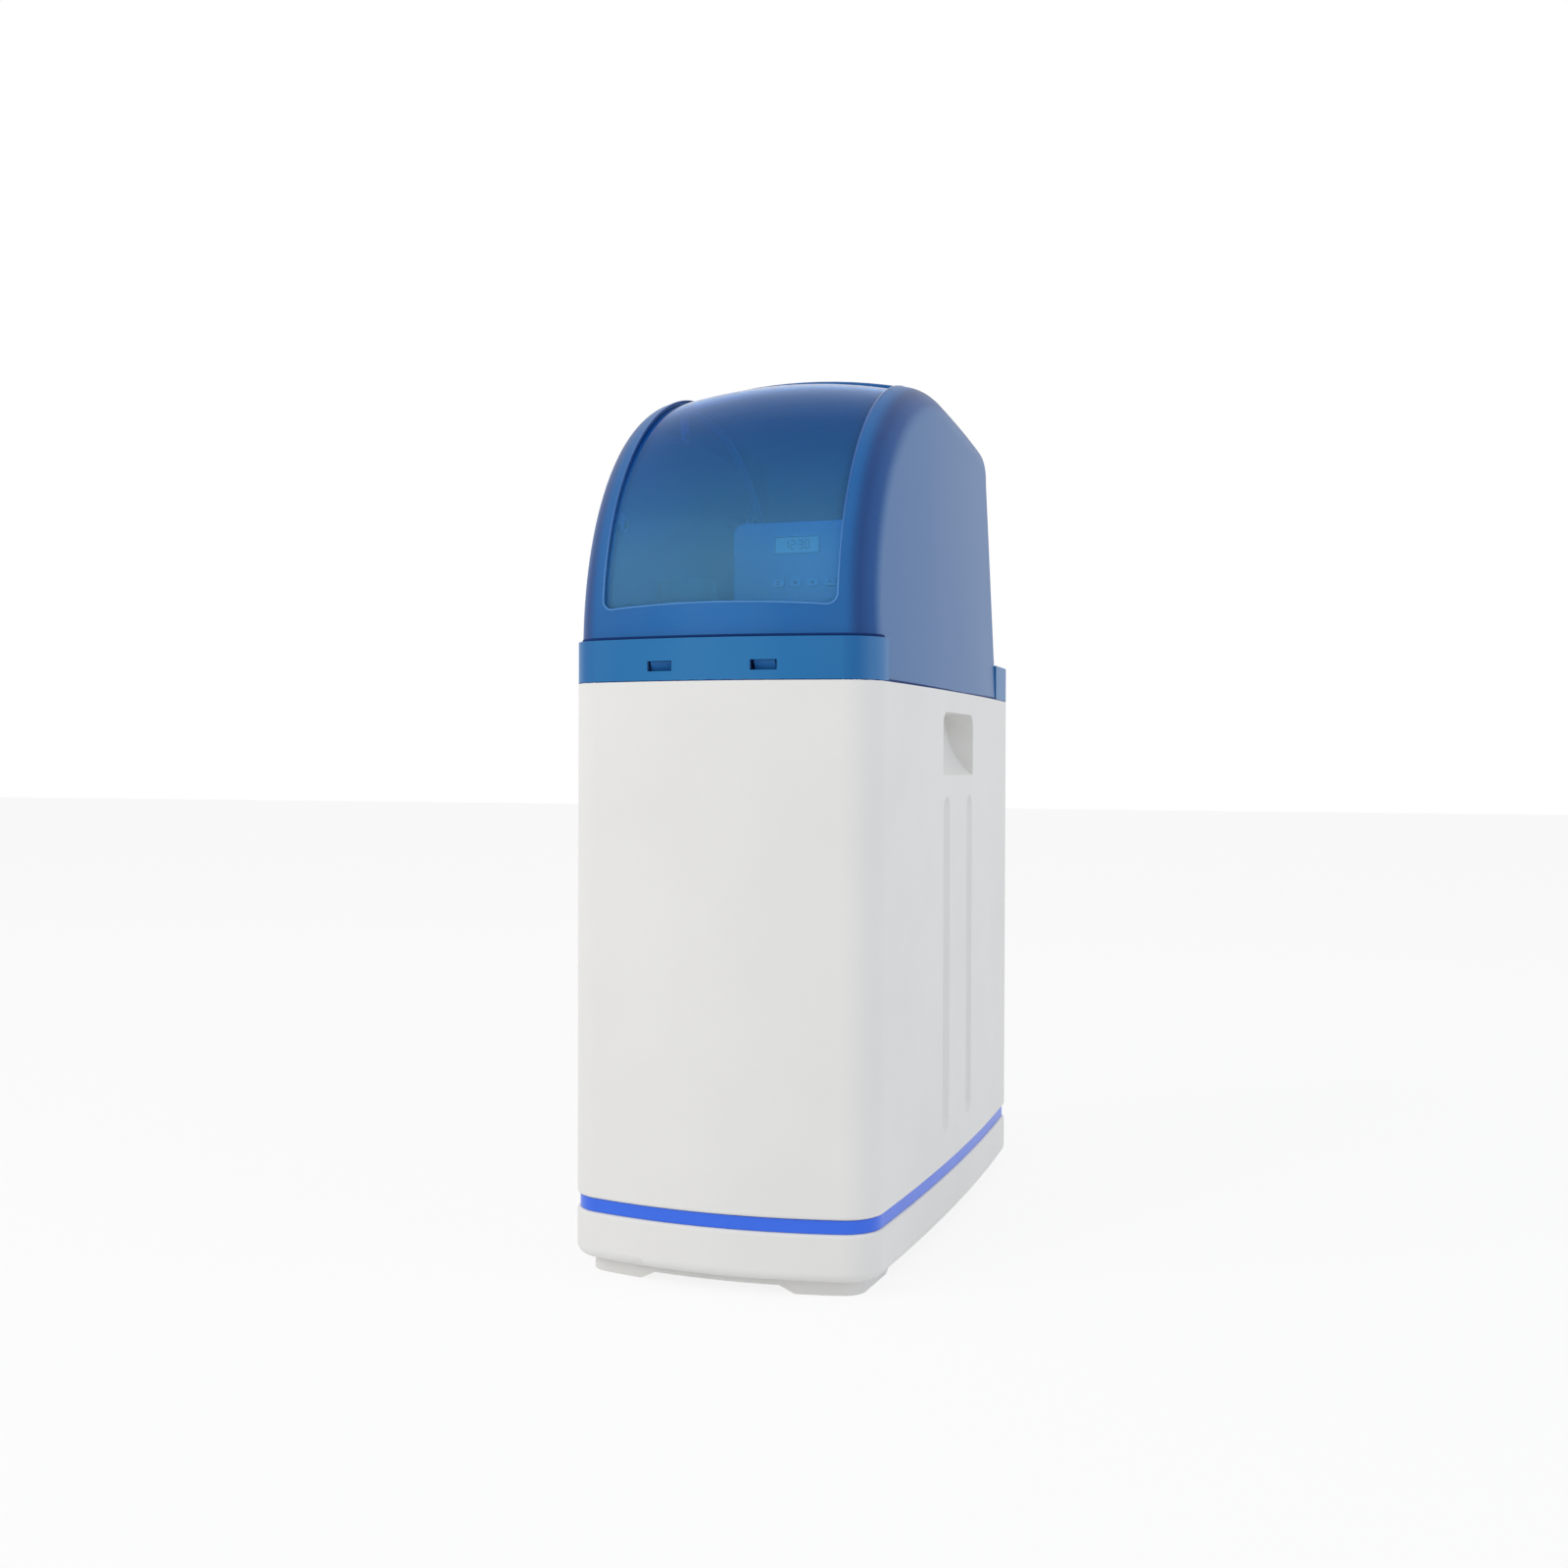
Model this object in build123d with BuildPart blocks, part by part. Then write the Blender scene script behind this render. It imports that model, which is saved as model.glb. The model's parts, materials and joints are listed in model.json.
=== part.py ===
from build123d import *
import math
import os

os.makedirs("parts", exist_ok=True)

# Millimetres. X is across the cabinet, -Y is the front, Z is up from the floor.

# Cabinet, one moulded shell on a rounded rectangle with bowed front and sides
body_width = 260.0
body_depth = 510.0
corner_radius = 32.0
front_bow = 19.0
side_bow = 7.5
cabinet_wall = 4.0
rim_height = 455.0
foot_height = 6.0
plinth_height = 6.0
plinth_inset = 14.0
base_height = 36.4
base_round = 8.0
edge_round = 2.5
foot_gap = 124.0
foot_gap_long = 330.0
foot_slope = 12.0

# Trim band in the groove between base and body
band_height = 10.6
band_groove = 5.5
band_inset = 2.2

# Handle scoops and grip grooves, the same on both sides
scoop_width = 110.0
scoop_height = 53.0
scoop_drop = 18.0
scoop_depth = 24.0
scoop_round = 12.0
scoop_depth_share = 0.78
scoop_height_share = 0.42
groove_spacing = 84.0
groove_width = 22.0
groove_rise = 27.0
groove_drop = 17.0
groove_depth = 5.5
groove_taper = 40.0

# Recess for the overflow elbow in the flat back
recess_side = 64.0
recess_width = 52.0
recess_height = 70.0
recess_drop = 79.0
recess_depth = 24.0
recess_round = 8.0

# Collar on the rim, with a ledge at the back
collar_height = 32.0
collar_wall = 3.0
collar_lip = 8.0
lip_thickness = 4.0
ledge_thickness = 3.0
ledge_overlap = 12.0
slot_spacing = 82.5
slot_width = 20.5
slot_height = 7.7
slot_rise = 7.4
front_pocket_depth = 30.0
front_pocket_rise = 5.0

# Hood, a crowned dome about a cross axis, with a sloping roof and a leaning back
dome_y = -27.5
dome_rise = 42.0
dome_inset = 5.5
dome_bow_radius = 440.0
roof_fall = 4.0
hood_wall = 2.8
hood_back_inset = 60.0
hood_lean = 24.0
hood_draft = 2.0
hood_bow = 10.0
cheek_radius = 28.0
rear_top_radius = 34.0
skirt_front_inset = 49.0
hook_width = 16.5
hook_thickness = 2.4
hook_barb = 3.6
hook_root = 10.0
pipe_notch_width = 116.0
pipe_notch_height = 45.0
pipe_notch_round = 14.0

# Window, a curved panel that slides back under the roof
opening_margin = 36.0
opening_bottom = 55.0
opening_arch = 3.5
opening_corner = 8.0
opening_blend_angle = 74.0
roof_edge_angle = 5.0
window_overlap = 3.5
window_recess = 3.3
window_thickness = 3.0
window_front_angle = 88.4
window_rear_angle = 8.0
window_travel = 55.0

# Rails that carry the window's edges
rail_thickness = 2.5
rail_flange = 7.0
rail_gap = 0.4
rail_front_angle = 87.0
rail_end_angle = 1.0
rail_screw_radius = 182.0
rail_lug_width = 12.0
rail_lug_angles = (62.0, 10.0, -46.0)
rail_boss_radius = 4.5
screw_radius = 1.5
screw_length = 8.0
screw_head_radius = 3.2
screw_head_height = 2.2
pilot_gap = 0.1

# Resin tank, a wound pressure vessel in a moulded boot
tank_back_room = 180.0
tank_side_room = 15.0
tank_height = 432.0
tank_base = 31.0
tank_wall = 4.0
tank_dome = 51.0
neck_radius = 36.5
neck_height = 13.0
boot_height = 62.0
boot_wall = 2.4
boot_hollow_radius = 62.0
resin_share = 0.62
riser_radius = 13.35
riser_wall = 2.0
riser_foot = 46.0
strainer_radius = 26.0
strainer_height = 46.0
strainer_slots = 12
strainer_slot_width = 2.4
upper_strainer_radius = 31.0
upper_strainer_height = 20.0

# Control valve: housing, ports, ceramic discs and gears
valve_collar_radius = 46.0
valve_collar_height = 36.0
housing_radius = 42.0
port_spacing = 72.0
port_rise = 25.7
port_radius = 16.0
port_bore = 10.5
port_reach = 75.0
flange_radius = 19.0
flange_thickness = 4.0
side_port_advance = 30.0
side_port_radius = 10.0
side_port_reach = 60.0
side_port_bore = 5.0
disc_radius = 33.0
disc_thickness = 6.0
disc_seat_rise = 15.0
disc_seat_depth = 18.0
disc_port_radius = 7.0
disc_port_circle = 20.0
disc_ports = 4
shaft_radius = 8.0
shaft_flange_radius = 26.0
shaft_flange_thickness = 4.0
square_drive = 10.0
gear_module = 1.5
gear_teeth = 72
pinion_teeth = 12
gear_width = 8.0
gear_room = 11.0
gear_backlash = 0.12
pressure_angle = 20.0
gear_spokes = 6
gear_web = 3.0
dedendum_share = 1.25
motor_radius = 20.0
motor_height = 44.0
motor_shaft_radius = 3.0
plate_thickness = 4.0
plate_boss_radius = 14.0
plate_screw_circle = 37.6
plate_screw_count = 6
plate_screw_radius = 2.0
plate_screw_start = 30.0

# Valve cover and the control panel on its front
cover_width = 132.0
cover_advance = 99.0
cover_length = 162.0
cover_overlap = 15.0
cover_height = 73.0
cover_round = 10.0
cover_wall = 2.5
cover_post_radius = 4.0
cover_post_inset = 11.0
panel_depth = 6.0
panel_skin = 3.0
panel_round = 3.0
lens_width = 38.7
lens_height = 12.7
lens_x = -7.2
lens_rise = 53.0
lens_thickness = 2.0
button_width = 11.0
button_height = 7.0
button_spacing = 15.5
button_rise = 20.0
button_stand = 1.2
button_flange = 1.0
button_flange_thickness = 1.5
button_travel = 1.0
button_corner = 2.0
board_side_room = 14.0
board_rise = 9.0
board_height = 55.0
board_thickness = 1.6
board_setback = 4.0
switch_size = 6.0
switch_height = 3.0
switch_plunger = 1.7
panel_post_radius = 2.5
panel_post_inset = 4.0
socket_x = 42.0
socket_rise = 54.0
socket_radius = 6.0
socket_length = 8.0
socket_hole = 2.8
socket_neck = 0.8

# Bypass valve behind the hood, with its two handles
bypass_radius = 16.0
bypass_length = 82.0
bypass_plug_reach = 63.0
bypass_cross_radius = 9.0
bypass_cross_gap = 26.0
plug_housing_radius = 15.0
plug_housing_drop = 14.0
plug_housing_rise = 28.0
plug_radius = 9.0
plug_port = 6.5
plug_drop = 11.0
handle_radius = 16.0
handle_thickness = 5.0
grip_length = 29.0
grip_width = 7.0
grip_height = 10.0
thread_radius = 13.2
thread_length = 20.0
thread_bore = 9.5
clip_thickness = 4.0
clip_width = 6.0

# Turbine of the water meter, in the outlet barrel
meter_setback = 22.0
meter_ring_length = 14.0
meter_ring_wall = 1.2
meter_pin_radius = 1.0
meter_hub_radius = 2.6
meter_blades = 6
meter_spokes = 3
meter_blade_thickness = 0.9
meter_blade_length = 7.0
blade_gap = 1.2

# Drain elbow and overflow elbow, both with hose barbs
barb_radius = 6.5
barb_length = 24.0
barb_bore = 4.0
barb_ridge = 1.1
barb_ridges = 3
barb_pitch = 6.0
elbow_radius = 9.0
drain_offset = 14.0
overflow_stub_radius = 9.5
overflow_flange_radius = 15.0
overflow_flange = 3.0
overflow_nut_radius = 15.0
overflow_nut_thickness = 6.0
nut_sides = 6
overflow_reach = 11.0
overflow_rise = 14.0

# Brine well with its riser, float and cap
well_side_room = 58.0
well_front_room = 135.0
well_radius = 22.0
well_wall = 2.0
well_rise = 86.0
well_slot_rows = 4
well_slot_columns = 3
well_slot_pitch = 12.0
well_slot_width = 3.0
well_slot_height = 6.0
cap_thickness = 3.0
cap_skirt = 16.0
cap_wall = 2.0
cap_round = 2.4
brine_pipe_radius = 5.0
brine_pipe_bore = 3.2
brine_pipe_drop = 99.0
brine_foot_height = 22.0
brine_foot_radius = 9.0
float_radius = 16.0
float_height = 34.0
float_bottom = 70.0
float_stop = 4.0
float_stop_radius = 8.5
brine_tube_radius = 4.75
brine_tube_bore = 3.2
tube_bend_share = 0.45

# Salt grid on the floor of the cabinet
grid_height = 60.0
grid_thickness = 4.0
grid_gap = 11.5
grid_rim = 11.0
grid_slot_length = 22.0
grid_slot_width = 5.0
grid_pitch_x = 27.0
grid_pitch_y = 16.0
grid_leg_radius = 8.0
grid_leg_side = 52.0
grid_leg_front_inset = 50.0
grid_leg_back_inset = 20.0

# Clearances and the overrun of cuts
fit_gap = 0.3
running_gap = 0.06
disc_gap = 0.1
overrun = 20.0

# Heights and places that follow from the sizes above
floor_height = foot_height + cabinet_wall
base_bottom = foot_height + plinth_height
base_top = base_bottom + base_height
band_top = base_top + band_height
collar_top = rim_height + collar_height
scoop_top = rim_height - scoop_drop
scoop_bottom = scoop_top - scoop_height
groove_top = scoop_bottom - groove_drop
groove_bottom = band_top + groove_rise
recess_x = body_width / 2 - recess_side
recess_top = rim_height - recess_drop
recess_bottom = recess_top - recess_height
dome_z = rim_height + dome_rise
dome_radius = body_depth / 2 + dome_y - dome_inset
hood_bottom = collar_top + fit_gap
hood_back = body_depth / 2 - hood_back_inset
skirt_front = skirt_front_inset - body_depth / 2
skirt_back = hood_back - cheek_radius
ledge_front = hood_back - ledge_overlap
opening_half = body_width / 2 - opening_margin
window_half = opening_half + window_overlap
rail_rear_angle = window_rear_angle + window_travel + rail_end_angle
tank_y = body_depth / 2 - tank_back_room
tank_radius = body_width / 2 - cabinet_wall - band_groove - boot_wall - fit_gap - tank_side_room
tank_top = tank_base + tank_height
valve_base = tank_top - neck_height + fit_gap
housing_bottom = valve_base + valve_collar_height
port_x = port_spacing / 2
port_height = housing_bottom + port_rise
port_back = tank_y + port_reach
side_port_y = tank_y - side_port_advance
disc_seat = port_height + disc_seat_rise
housing_top = disc_seat + disc_seat_depth
gear_bottom = housing_top + gear_room
gear_distance = gear_module * (gear_teeth + pinion_teeth) / 2
pinion_y = tank_y - gear_distance
cover_front = tank_y - cover_advance
cover_back = cover_front + cover_length
cover_bottom = housing_top - cover_overlap
cover_top = cover_bottom + cover_height
lens_height_at = cover_bottom + lens_rise
button_height_at = cover_bottom + button_rise
board_width = cover_width - 2 * board_side_room
board_bottom = cover_bottom + board_rise
board_top = board_bottom + board_height
board_y = cover_front + board_setback
socket_z = cover_bottom + socket_rise
bypass_end = port_back + bypass_length
bypass_y = port_back + bypass_plug_reach
plug_housing_bottom = port_height - plug_housing_drop
plug_housing_top = port_height + plug_housing_rise
plug_bottom = port_height - plug_drop
meter_y = port_back - meter_setback
well_x = well_side_room - body_width / 2
well_y = well_front_room - body_depth / 2
well_top = rim_height + well_rise
brine_pipe_top = well_top - brine_pipe_drop


def hood_side(y, z):
    # Half width of the hood's bowed side, drawn in above the rim by its draft
    centre = front_bow / 2
    span = body_depth / 2 - centre
    bow_radius = (span**2 + hood_bow**2) / (2 * hood_bow)
    bowed = body_width / 2 - bow_radius + math.sqrt(bow_radius**2 - (y - centre) ** 2)
    return bowed - (z - rim_height) * math.tan(math.radians(hood_draft))


def body_outline(inset):
    # Plan of the cabinet: bowed front and sides, flat back, round corners
    half_width = body_width / 2 - side_bow
    front_y = front_bow - body_depth / 2
    back_y = body_depth / 2
    with BuildSketch(mode=Mode.PRIVATE) as outline:
        with BuildLine():
            front = ThreePointArc((-half_width, front_y), (0, -body_depth / 2), (half_width, front_y))
            right = ThreePointArc(front @ 1, (body_width / 2, front_bow / 2), (half_width, back_y))
            back = Line(right @ 1, (-half_width, back_y))
            ThreePointArc(back @ 1, (-body_width / 2, front_bow / 2), front @ 0)
        make_face()
        fillet(outline.vertices(), corner_radius)
        if inset:
            offset(amount=-inset)
    return outline.sketch


def hood_sides(inset, bottom, top):
    # Tall prism between the hood's bowed and drafted sides
    centre = front_bow / 2
    length = body_depth / 2 + overrun
    near = hood_side(centre - length, bottom) - inset
    middle = hood_side(centre, bottom) - inset
    with BuildPart(mode=Mode.PRIVATE) as prism:
        with BuildSketch(Plane.XY.offset(bottom)):
            with BuildLine():
                right = ThreePointArc((near, centre - length), (middle, centre), (near, centre + length))
                far = Line(right @ 1, (-near, centre + length))
                left = ThreePointArc(far @ 1, (-middle, centre), (-near, centre - length))
                Line(left @ 1, right @ 0)
            make_face()
        extrude(amount=top - bottom, taper=hood_draft)
    return prism.part


def slab(inset, bottom, top):
    # A level slice of the cabinet's plan
    with BuildPart(mode=Mode.PRIVATE) as piece:
        with BuildSketch(Plane.XY.offset(bottom)):
            add(body_outline(inset))
        extrude(amount=top - bottom)
    return piece.part


def side_recesses(grow):
    # Handle scoops and grip grooves on both sides, grown by a wall for their inner faces
    side = body_width / 2
    inward = grow / math.sqrt(2)
    groove_plane = Plane(origin=(side, 0, 0), x_dir=(0, -1, 0), z_dir=(-1, 0, 0))
    with BuildPart(mode=Mode.PRIVATE) as recesses:
        with BuildSketch(Plane.XZ):
            with BuildLine():
                floor = ThreePointArc(
                    (side - scoop_depth - grow, scoop_top + grow),
                    (
                        side - scoop_depth * scoop_depth_share - inward,
                        scoop_bottom + scoop_height * scoop_height_share - inward,
                    ),
                    (side - grow, scoop_bottom - grow),
                )
                Polyline(
                    floor @ 1,
                    (side + overrun, scoop_bottom - grow),
                    (side + overrun, scoop_top + grow),
                    floor @ 0,
                )
            make_face()
        extrude(amount=scoop_width / 2 + grow, both=True)
        top_edges = recesses.edges().filter_by(Axis.X).sort_by(Axis.Z)[-2:]
        fillet(top_edges, scoop_round + grow)
        with BuildSketch(groove_plane):
            with Locations(
                (-groove_spacing / 2, (groove_top + groove_bottom) / 2),
                (groove_spacing / 2, (groove_top + groove_bottom) / 2),
            ):
                SlotOverall(groove_top - groove_bottom + 2 * grow, groove_width + 2 * grow, rotation=90)
        extrude(amount=groove_depth + grow, taper=groove_taper)
        mirror(about=Plane.YZ)
    return recesses.part


def back_recess(grow):
    # Recess in the back wall for the overflow elbow
    back_plane = Plane(origin=(recess_x, body_depth / 2, recess_bottom + recess_height / 2),
                       x_dir=(1, 0, 0), z_dir=(0, -1, 0))
    with BuildPart(mode=Mode.PRIVATE) as recess:
        with BuildSketch(back_plane):
            RectangleRounded(recess_width + 2 * grow, recess_height + 2 * grow, recess_round + grow)
        extrude(amount=recess_depth + grow)
    return recess.part


overflow_z = recess_top - recess_round - overflow_rise
recess_floor_y = body_depth / 2 - recess_depth

# Cabinet
with BuildPart() as cabinet_void:
    add(slab(cabinet_wall, band_top + cabinet_wall, rim_height + overrun))
    add(slab(cabinet_wall + band_groove, base_bottom + cabinet_wall, rim_height))
    add(slab(cabinet_wall, base_bottom + cabinet_wall, base_top - cabinet_wall))
    add(slab(plinth_inset + cabinet_wall, floor_height, base_bottom + 2 * cabinet_wall))
    add(side_recesses(cabinet_wall), mode=Mode.SUBTRACT)
    add(back_recess(cabinet_wall), mode=Mode.SUBTRACT)

with BuildPart() as cabinet:
    add(slab(0, band_top, rim_height))
    fillet(cabinet.faces().sort_by(Axis.Z)[0].edges(), edge_round)
    add(slab(0, base_bottom, base_top))
    base_edges = cabinet.edges().group_by(Axis.Z)
    fillet(base_edges[0], base_round)
    fillet(cabinet.faces().filter_by(Plane.XY).sort_by(Axis.Z)[1].edges(), edge_round)
    add(slab(band_groove, base_bottom + base_round, band_top + edge_round))
    add(slab(plinth_inset, 0, base_bottom + base_round))
    with BuildSketch(Plane.XZ):
        with BuildLine():
            Polyline(
                (-foot_gap / 2, 0),
                (foot_gap / 2, 0),
                (foot_gap / 2 - foot_slope, foot_height),
                (foot_slope - foot_gap / 2, foot_height),
                close=True,
            )
        make_face()
    extrude(amount=body_depth, both=True, mode=Mode.SUBTRACT)
    with BuildSketch(Plane.YZ):
        with BuildLine():
            Polyline(
                (-foot_gap_long / 2, 0),
                (foot_gap_long / 2, 0),
                (foot_gap_long / 2 - foot_slope, foot_height),
                (foot_slope - foot_gap_long / 2, foot_height),
                close=True,
            )
        make_face()
    extrude(amount=body_width, both=True, mode=Mode.SUBTRACT)
    add(cabinet_void.part, mode=Mode.SUBTRACT)
    add(side_recesses(0), mode=Mode.SUBTRACT)
    add(back_recess(0), mode=Mode.SUBTRACT)
    with BuildSketch(Plane(origin=(recess_x, recess_floor_y, overflow_z), x_dir=(1, 0, 0), z_dir=(0, -1, 0))):
        Circle(overflow_stub_radius + fit_gap)
    extrude(amount=cabinet_wall + overrun, mode=Mode.SUBTRACT)
cabinet.part.label = "cabinet"
export_step(cabinet.part, "parts/cabinet.step")

# Trim band
with BuildPart() as trim_band:
    add(slab(band_inset, base_top + fit_gap, band_top - fit_gap))
    add(slab(band_groove - fit_gap, base_top, band_top), mode=Mode.SUBTRACT)
trim_band.part.label = "trim_band"
export_step(trim_band.part, "parts/trim_band.step")

# Collar, cut back at the sides for the hood's skirts
collar_inner = cabinet_wall + fit_gap + lip_thickness
with BuildPart() as collar:
    add(slab(0, rim_height, collar_top))
    add(slab(cabinet_wall + fit_gap, rim_height - collar_lip, rim_height))
    with BuildPart(mode=Mode.PRIVATE) as skirt_room:
        add(slab(-overrun, rim_height, collar_top))
        add(hood_sides(hood_wall + fit_gap, rim_height, collar_top), mode=Mode.SUBTRACT)
        with BuildSketch(Plane.XY.offset(rim_height)):
            with Locations((0, (skirt_front + skirt_back) / 2)):
                Rectangle(2 * body_width, skirt_back - skirt_front + 2 * fit_gap)
        extrude(amount=collar_height, mode=Mode.INTERSECT)
    add(skirt_room.part, mode=Mode.SUBTRACT)
    with BuildPart(mode=Mode.PRIVATE) as opening:
        add(slab(collar_inner, rim_height - collar_lip, collar_top - ledge_thickness))
        with BuildPart(mode=Mode.PRIVATE) as way_in:
            add(slab(collar_inner, collar_top - ledge_thickness, collar_top))
            with BuildSketch(Plane.XY.offset(collar_top - ledge_thickness)):
                with Locations((0, ledge_front)):
                    Rectangle(2 * body_width, 2 * body_depth, align=(Align.CENTER, Align.MAX))
            extrude(amount=ledge_thickness, mode=Mode.INTERSECT)
        add(way_in.part)
        with BuildPart(mode=Mode.PRIVATE) as front_pocket:
            add(slab(collar_wall, rim_height + front_pocket_rise, collar_top))
            with BuildSketch(Plane.XY.offset(rim_height)):
                with Locations((0, front_pocket_depth - body_depth / 2)):
                    Rectangle(slot_spacing + 2 * slot_width, 2 * body_depth, align=(Align.CENTER, Align.MAX))
            extrude(amount=collar_height, mode=Mode.INTERSECT)
        add(front_pocket.part)
    add(opening.part, mode=Mode.SUBTRACT)
    with BuildSketch(Plane.XZ.offset(body_depth / 2)):
        with GridLocations(slot_spacing, 0, 2, 1):
            with Locations((0, rim_height + slot_rise + slot_height / 2)):
                Rectangle(slot_width, slot_height)
    extrude(amount=-front_pocket_depth, mode=Mode.SUBTRACT)
collar.part.label = "collar"
export_step(collar.part, "parts/collar.step")


def crown_radius(x, inset):
    # Distance of the crowned dome surface from its axis at a place across the hood
    bow = dome_bow_radius - inset
    return dome_radius - inset - bow + math.sqrt(bow**2 - x**2)


def dome_point(radius, angle):
    # Place on the dome's side view, the angle counted forwards from straight up
    turn = math.radians(angle)
    return (dome_y - radius * math.sin(turn), dome_z + radius * math.cos(turn))


def hood_block(inset, base_z):
    # Solid hood shape: dome front, sloping roof, leaning back, bowed and drafted sides
    reach = body_width / 2 + overrun
    top_z = dome_z + dome_radius + overrun
    edge = crown_radius(reach, inset)
    crown = dome_radius - inset
    fall = math.radians(roof_fall)
    roof_plane = Plane(origin=(0, dome_y, dome_z), x_dir=(1, 0, 0), z_dir=(0, -math.cos(fall), math.sin(fall)))
    back_slope = hood_lean / (dome_z + dome_radius - rim_height)
    back = hood_back - inset
    with BuildPart(mode=Mode.PRIVATE) as block:
        with BuildSketch(Plane.XY.offset(dome_z)) as section:
            with BuildLine():
                front = ThreePointArc((-reach, dome_y - edge), (0, dome_y - crown), (reach, dome_y - edge))
                Polyline(front @ 1, (reach, dome_y), (-reach, dome_y), front @ 0)
            make_face()
        revolve(axis=Axis((0, dome_y, dome_z), (-1, 0, 0)), revolution_arc=90 + roof_fall)
        extrude(to_extrude=section.sketch, amount=base_z - dome_z)
        with BuildSketch(roof_plane):
            with BuildLine():
                roof = ThreePointArc((-reach, edge), (0, crown), (reach, edge))
                Polyline(roof @ 1, (reach, 0), (-reach, 0), roof @ 0)
            make_face()
        extrude(amount=-body_depth)
        with BuildSketch(Plane.XY.offset(base_z)):
            with Locations((0, dome_y)):
                Rectangle(2 * reach, body_depth, align=(Align.CENTER, Align.MIN))
        extrude(amount=dome_z + dome_radius / 2 - base_z)
        with BuildSketch(Plane.YZ):
            with BuildLine():
                Polyline(
                    (-body_depth, base_z),
                    (back - back_slope * (base_z - rim_height), base_z),
                    (back - back_slope * (top_z - rim_height), top_z),
                    (-body_depth, top_z),
                    close=True,
                )
            make_face()
        extrude(amount=body_width, both=True, mode=Mode.INTERSECT)
        back_face = block.faces().sort_by(Axis.Y)[-1]
        fillet(back_face.edges().sort_by(Axis.Z)[-1], rear_top_radius - inset)
        add(hood_sides(inset, base_z, top_z), mode=Mode.INTERSECT)
        for place in (0, -1):
            cheek = block.faces().sort_by(Axis.X)[place]
            rim_edges = cheek.edges().filter_by(lambda edge: edge.center().Z > base_z + fit_gap)
            fillet(rim_edges, cheek_radius - inset)
    return block.part


def dome_wedge(half_width, inner, outer, front_angle, rear_angle):
    # Sector about the dome's axis, from a front angle to a rear angle
    turn = math.radians(front_angle)
    start = Plane(origin=(0, dome_y, dome_z), x_dir=(1, 0, 0), z_dir=(0, -math.cos(turn), -math.sin(turn)))
    with BuildPart(mode=Mode.PRIVATE) as wedge:
        with BuildSketch(start):
            with Locations((0, (inner + outer) / 2)):
                Rectangle(2 * half_width, outer - inner)
        revolve(axis=Axis((0, dome_y, dome_z), (-1, 0, 0)), revolution_arc=front_angle + rear_angle)
    return wedge.part


# Hood
boss_face = window_half + rail_gap + rail_thickness
with BuildPart() as hood:
    add(hood_block(0, rim_height))
    add(hood_block(hood_wall, rim_height - overrun / 2), mode=Mode.SUBTRACT)
    with BuildSketch(Plane.XY.offset(hood_bottom)):
        with Locations((0, skirt_front)):
            Rectangle(2 * body_width, body_depth, align=(Align.CENTER, Align.MAX))
        with Locations((0, skirt_back)):
            Rectangle(2 * body_width, body_depth, align=(Align.CENTER, Align.MIN))
    extrude(amount=-collar_height - overrun, mode=Mode.SUBTRACT)
    with BuildPart(mode=Mode.PRIVATE) as window_way:
        add(dome_wedge(opening_half, dome_radius / 2, dome_radius + overrun, opening_blend_angle, -roof_edge_angle))
        with BuildSketch(Plane.XZ.offset(-dome_y)) as front_cut:
            with BuildLine():
                low = rim_height + opening_bottom
                sill = ThreePointArc((-opening_half, low), (0, low + opening_arch), (opening_half, low))
                high = dome_z + dome_radius * math.cos(math.radians(opening_blend_angle)) + opening_corner
                Polyline(sill @ 1, (opening_half, high), (-opening_half, high), sill @ 0)
            make_face()
            fillet(front_cut.vertices().group_by(Axis.Y)[0], opening_corner)
        extrude(amount=body_depth)
    add(window_way.part, mode=Mode.SUBTRACT)
    with BuildSketch(Plane.XZ.offset(-ledge_front + overrun)):
        with Locations((0, hood_bottom)):
            notch = Rectangle(pipe_notch_width, 2 * pipe_notch_height)
        fillet(notch.vertices(), pipe_notch_round)
    extrude(amount=-body_depth, mode=Mode.SUBTRACT)
    for angle in rail_lug_angles:
        y, z = dome_point(rail_screw_radius, angle)
        reach = hood_side(y, z) - hood_wall / 2
        with BuildSketch(Plane.YZ.offset(boss_face)):
            with Locations((y, z)):
                Circle(rail_boss_radius)
        right_boss = extrude(amount=reach - boss_face)
        mirror(right_boss, about=Plane.YZ)
        with BuildSketch(Plane.YZ.offset(boss_face)):
            with Locations((y, z)):
                Circle(screw_radius + pilot_gap)
        right_pilot = extrude(amount=screw_length, mode=Mode.SUBTRACT)
        mirror(right_pilot, about=Plane.YZ, mode=Mode.SUBTRACT)
    hook_back = dome_y - dome_radius + hood_wall + hook_thickness
    hook_low = rim_height + slot_rise + fit_gap
    with BuildSketch(Plane.YZ.offset(slot_spacing / 2)):
        with BuildLine():
            Polyline(
                (hook_back, collar_top + hook_root),
                (hook_back - hook_thickness, collar_top + hook_root),
                (hook_back - hook_thickness, rim_height + slot_rise + slot_height - fit_gap),
                (hook_back - hook_thickness - hook_barb, rim_height + slot_rise + slot_height - fit_gap),
                (hook_back - hook_thickness, hook_low),
                (hook_back, hook_low),
                close=True,
            )
        make_face()
    right_hook = extrude(amount=hook_width / 2, both=True)
    mirror(right_hook, about=Plane.YZ)
hood.part.label = "hood"
export_step(hood.part, "parts/hood.step")

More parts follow.
